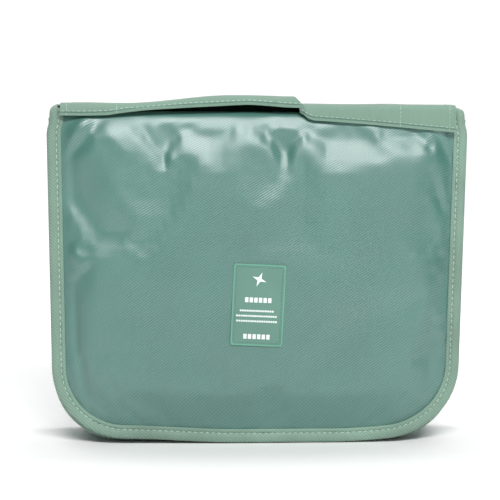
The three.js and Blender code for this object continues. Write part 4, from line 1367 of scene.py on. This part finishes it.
def make_net(name, node, body):
    """A mesh pocket: two families of slanting threads that end at the pocket's outline."""
    low, high = node_box(node)
    width, height = high[0] - low[0], high[2] - low[2]
    mid_y = (low[1] + high[1]) / 2
    thick = (high[1] - low[1]) * 0.35
    parts = []
    count = int((width + height) / NET_PITCH)
    for lean in (1, -1):
        for i in range(1, count):
            offset = i * NET_PITCH
            t0, t1 = max(0.0, offset - width), min(height, offset)
            if t1 - t0 < 1 * MM:
                continue
            ends = []
            for t in (t0, t1):
                x = offset - t
                ends.append((low[0] + x if lean > 0 else high[0] - x, low[2] + t))
            (x0, z0), (x1, z1) = ends
            length = math.hypot(x1 - x0, z1 - z0)
            nx = -(z1 - z0) / length * NET_STRAND / 2
            nz = (x1 - x0) / length * NET_STRAND / 2
            y0, y1 = mid_y - thick, mid_y + thick
            ring = [(x0 + nx, z0 + nz), (x0 - nx, z0 - nz), (x1 - nx, z1 - nz), (x1 + nx, z1 + nz)]
            verts = [(x, y0, z) for x, z in ring] + [(x, y1, z) for x, z in ring]
            faces = [(0, 1, 2, 3), (7, 6, 5, 4)]
            faces += [(k, (k + 1) % 4, 4 + (k + 1) % 4, 4 + k) for k in range(4)]
            parts.append((verts, faces))
    obj = make_object(name, *gather(parts), net_cloth, smooth=False)
    piece(obj, "netting", body, [node])
    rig.sheet(obj, flat=(width, height), held="stretched")


# ------------------------------------------------------------------ small parts: the CAD's shapes, edges softened
SLOT_MATERIALS = {
    "satin": satin_plain, "binding_tape": tape_cloth, "strap_cloth": strap_cloth, "lining_cloth": lining_cloth,
    "elastic": elastic_cloth, "zip_cloth": zip_cloth, "zip_teeth": teeth_plastic, "zip_metal": zip_metal,
    "hook_plastic": hook_plastic, "closure": loop_cloth, "thread": thread,
}


# How the small strips are cut before they are sewn. Each takes the size of the finished strip.
WEBBING = 0.8 * MM
ELASTIC = 1.2 * MM
LOOP_COUNT = 4
LOOP_FOOT = 8 * MM
RIM_LAP = 8 * MM


def plain_cut(size):
    return size[0], size[2]


def doubled_cut(size):
    """Folded double: both plies and the turn between them."""
    return size[0], 2 * size[2] + size[1]


def keeper_cut(size):
    """A band that steps down to the lining at both ends."""
    return size[2], size[0] + 2 * (size[1] - WEBBING)


def rim_cut(size):
    """Tape folded over a side wall's sloping top edge."""
    slope = math.hypot(size[1], size[2] - RIM_LAP)
    lap = RIM_LAP * size[1] / slope
    return 2 * lap + size[0], slope


def loop_band_cut(size):
    """Elastic sewn down at its feet, and half an ellipse of it standing out between each two."""
    wide = (size[0] - (LOOP_COUNT + 1) * LOOP_FOOT) / LOOP_COUNT / 2 - ELASTIC / 2
    deep = size[1] - ELASTIC / 2
    around = math.pi / 2 * (3 * (wide + deep) - math.sqrt((3 * wide + deep) * (wide + 3 * deep)))
    return size[2], LOOP_COUNT * around + (LOOP_COUNT + 1) * LOOP_FOOT


STRIP_CUTS = {
    "back_pocket_panel": (plain_cut, "stretched"),
    "front_rim": (doubled_cut, "folded"),
    "hook_strap": (doubled_cut, "folded"),
    "hook_keeper": (keeper_cut, "folded"),
    "gusset_rim_left": (rim_cut, "folded"),
    "gusset_rim_right": (rim_cut, "folded"),
    "elastic_loop_band": (loop_band_cut, "gathered"),
    "hook_tape_left": (plain_cut, "stretched"),
    "hook_tape_right": (plain_cut, "stretched"),
    "loop_tape_left": (plain_cut, "stretched"),
    "loop_tape_right": (plain_cut, "stretched"),
}


def back_pocket_area():
    """The back pocket's cloth has the back panel's round corners."""
    low, high = node_box("back_pocket_panel")
    z = np.linspace(low[2], high[2], 400)
    return float(2 * BACK.inset(TAPE_WIDTH + SEAT).half_at(z).mean() * (high[2] - low[2]))


def make_rest():
    """Every CAD node that no piece replaces yet, with its edges softened."""
    for part in frame["record"]["subparts"]:
        node, slot_name = part["node"], part["material_slot"]
        if frame["nodes"][node].hide_render:
            continue
        obj = rounded_copy(node, node + "_part", SLOT_MATERIALS[slot_name], slot_name)
        if node in STRIP_CUTS:
            low, high = node_box(node)
            cut, held = STRIP_CUTS[node]
            area = back_pocket_area() if node == "back_pocket_panel" else None
            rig.sheet(obj, flat=cut(high - low), held=held, area=area)


# ------------------------------------------------------------------ light, floor and camera
def make_light(name, place, target, size, power):
    data = bpy.data.lights.new(name, "AREA")
    data.shape = "RECTANGLE"
    data.size, data.size_y = size
    data.energy = power
    obj = bpy.data.objects.new(name, data)
    bpy.context.collection.objects.link(obj)
    obj.location = place
    obj.rotation_euler = (Vector(target) - Vector(place)).to_track_quat("-Z", "Y").to_euler()


def make_floor():
    n = Nodes("floor_paper")
    base = n.ramp(n.noise(6.0, 2.0), (0.93, 0.93, 0.93), (0.96, 0.96, 0.96))
    n.link(base, n.shader.inputs["Base Color"])
    n.shader.inputs["Roughness"].default_value = 0.9
    half, depth, height, bend = 3.0, 1.6, 3.0, 0.7
    turn = np.linspace(0, math.pi / 2, 17)
    section = [(-2.6, 0.0), (depth, 0.0)]
    section += [(depth + bend * math.sin(a), bend * (1 - math.cos(a))) for a in turn[1:]]
    section += [(depth + bend, height)]
    verts = [(x, y, z - 0.0002) for y, z in section for x in (-half, half)]
    faces = [(2 * i, 2 * i + 1, 2 * i + 3, 2 * i + 2) for i in range(len(section) - 1)]
    floor = make_object("floor", verts, faces, n.material)
    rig.stage(floor)


VIEW_DISTANCE = 1.0
VIEW_AZIMUTH = math.radians(-4)
VIEW_ELEVATION = math.radians(6)
VIEW_ROLL = math.radians(0.4)
VIEW_TARGET = Vector((-4.6 * MM, -22.5 * MM, 112.3 * MM))
SENSOR_WIDTH = 36
LENS = 126.2


def make_camera():
    away = Vector((
        math.sin(VIEW_AZIMUTH) * math.cos(VIEW_ELEVATION),
        -math.cos(VIEW_AZIMUTH) * math.cos(VIEW_ELEVATION),
        math.sin(VIEW_ELEVATION),
    ))
    data = bpy.data.cameras.new("camera")
    data.sensor_width = SENSOR_WIDTH
    data.lens = LENS
    camera = bpy.data.objects.new("camera", data)
    bpy.context.collection.objects.link(camera)
    camera.location = VIEW_TARGET + away * VIEW_DISTANCE
    aim = (-away).to_track_quat("-Z", "Y") @ Quaternion((0, 0, 1), VIEW_ROLL)
    camera.rotation_euler = aim.to_euler()
    bpy.context.scene.camera = camera


def make_world():
    world = bpy.data.worlds.new("studio")
    world.use_nodes = True
    background = world.node_tree.nodes["Background"]
    background.inputs["Color"].default_value = (1, 1, 1, 1)
    background.inputs["Strength"].default_value = 0.10
    scene = bpy.context.scene
    scene.world = world
    scene.view_settings.view_transform = "Standard"
    scene.view_settings.look = "None"


make_cover()
make_cover_binding()
make_corner_tucks()
make_strap()
make_folds()
make_label()
make_spine()
make_back()
make_linings_and_wall()
make_gusset()
make_edge_tapes()
make_net("wall_mesh_pocket", "front_mesh_pocket", "bin")
make_net("cover_mesh_pocket_net", "cover_mesh_pocket", "cover")
make_rest()
make_world()
make_floor()
make_light("key", (0.1, -1.3, 1.2), (0, 0, 0.12), (1.0, 0.3), 27)
make_light("fill", (0.8, -1.6, 0.6), (0, 0, 0.1), (1.0, 1.0), 2.5)
make_light("backdrop", (0, 0.5, 1.8), (0, 1.8, 0.4), (3.0, 1.0), 45)
make_camera()

visual_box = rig.bounds()
with open("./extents.json", "w") as file:
    json.dump({"cad": [list(v) for v in cad_box], "visual": [list(v) for v in visual_box]}, file)
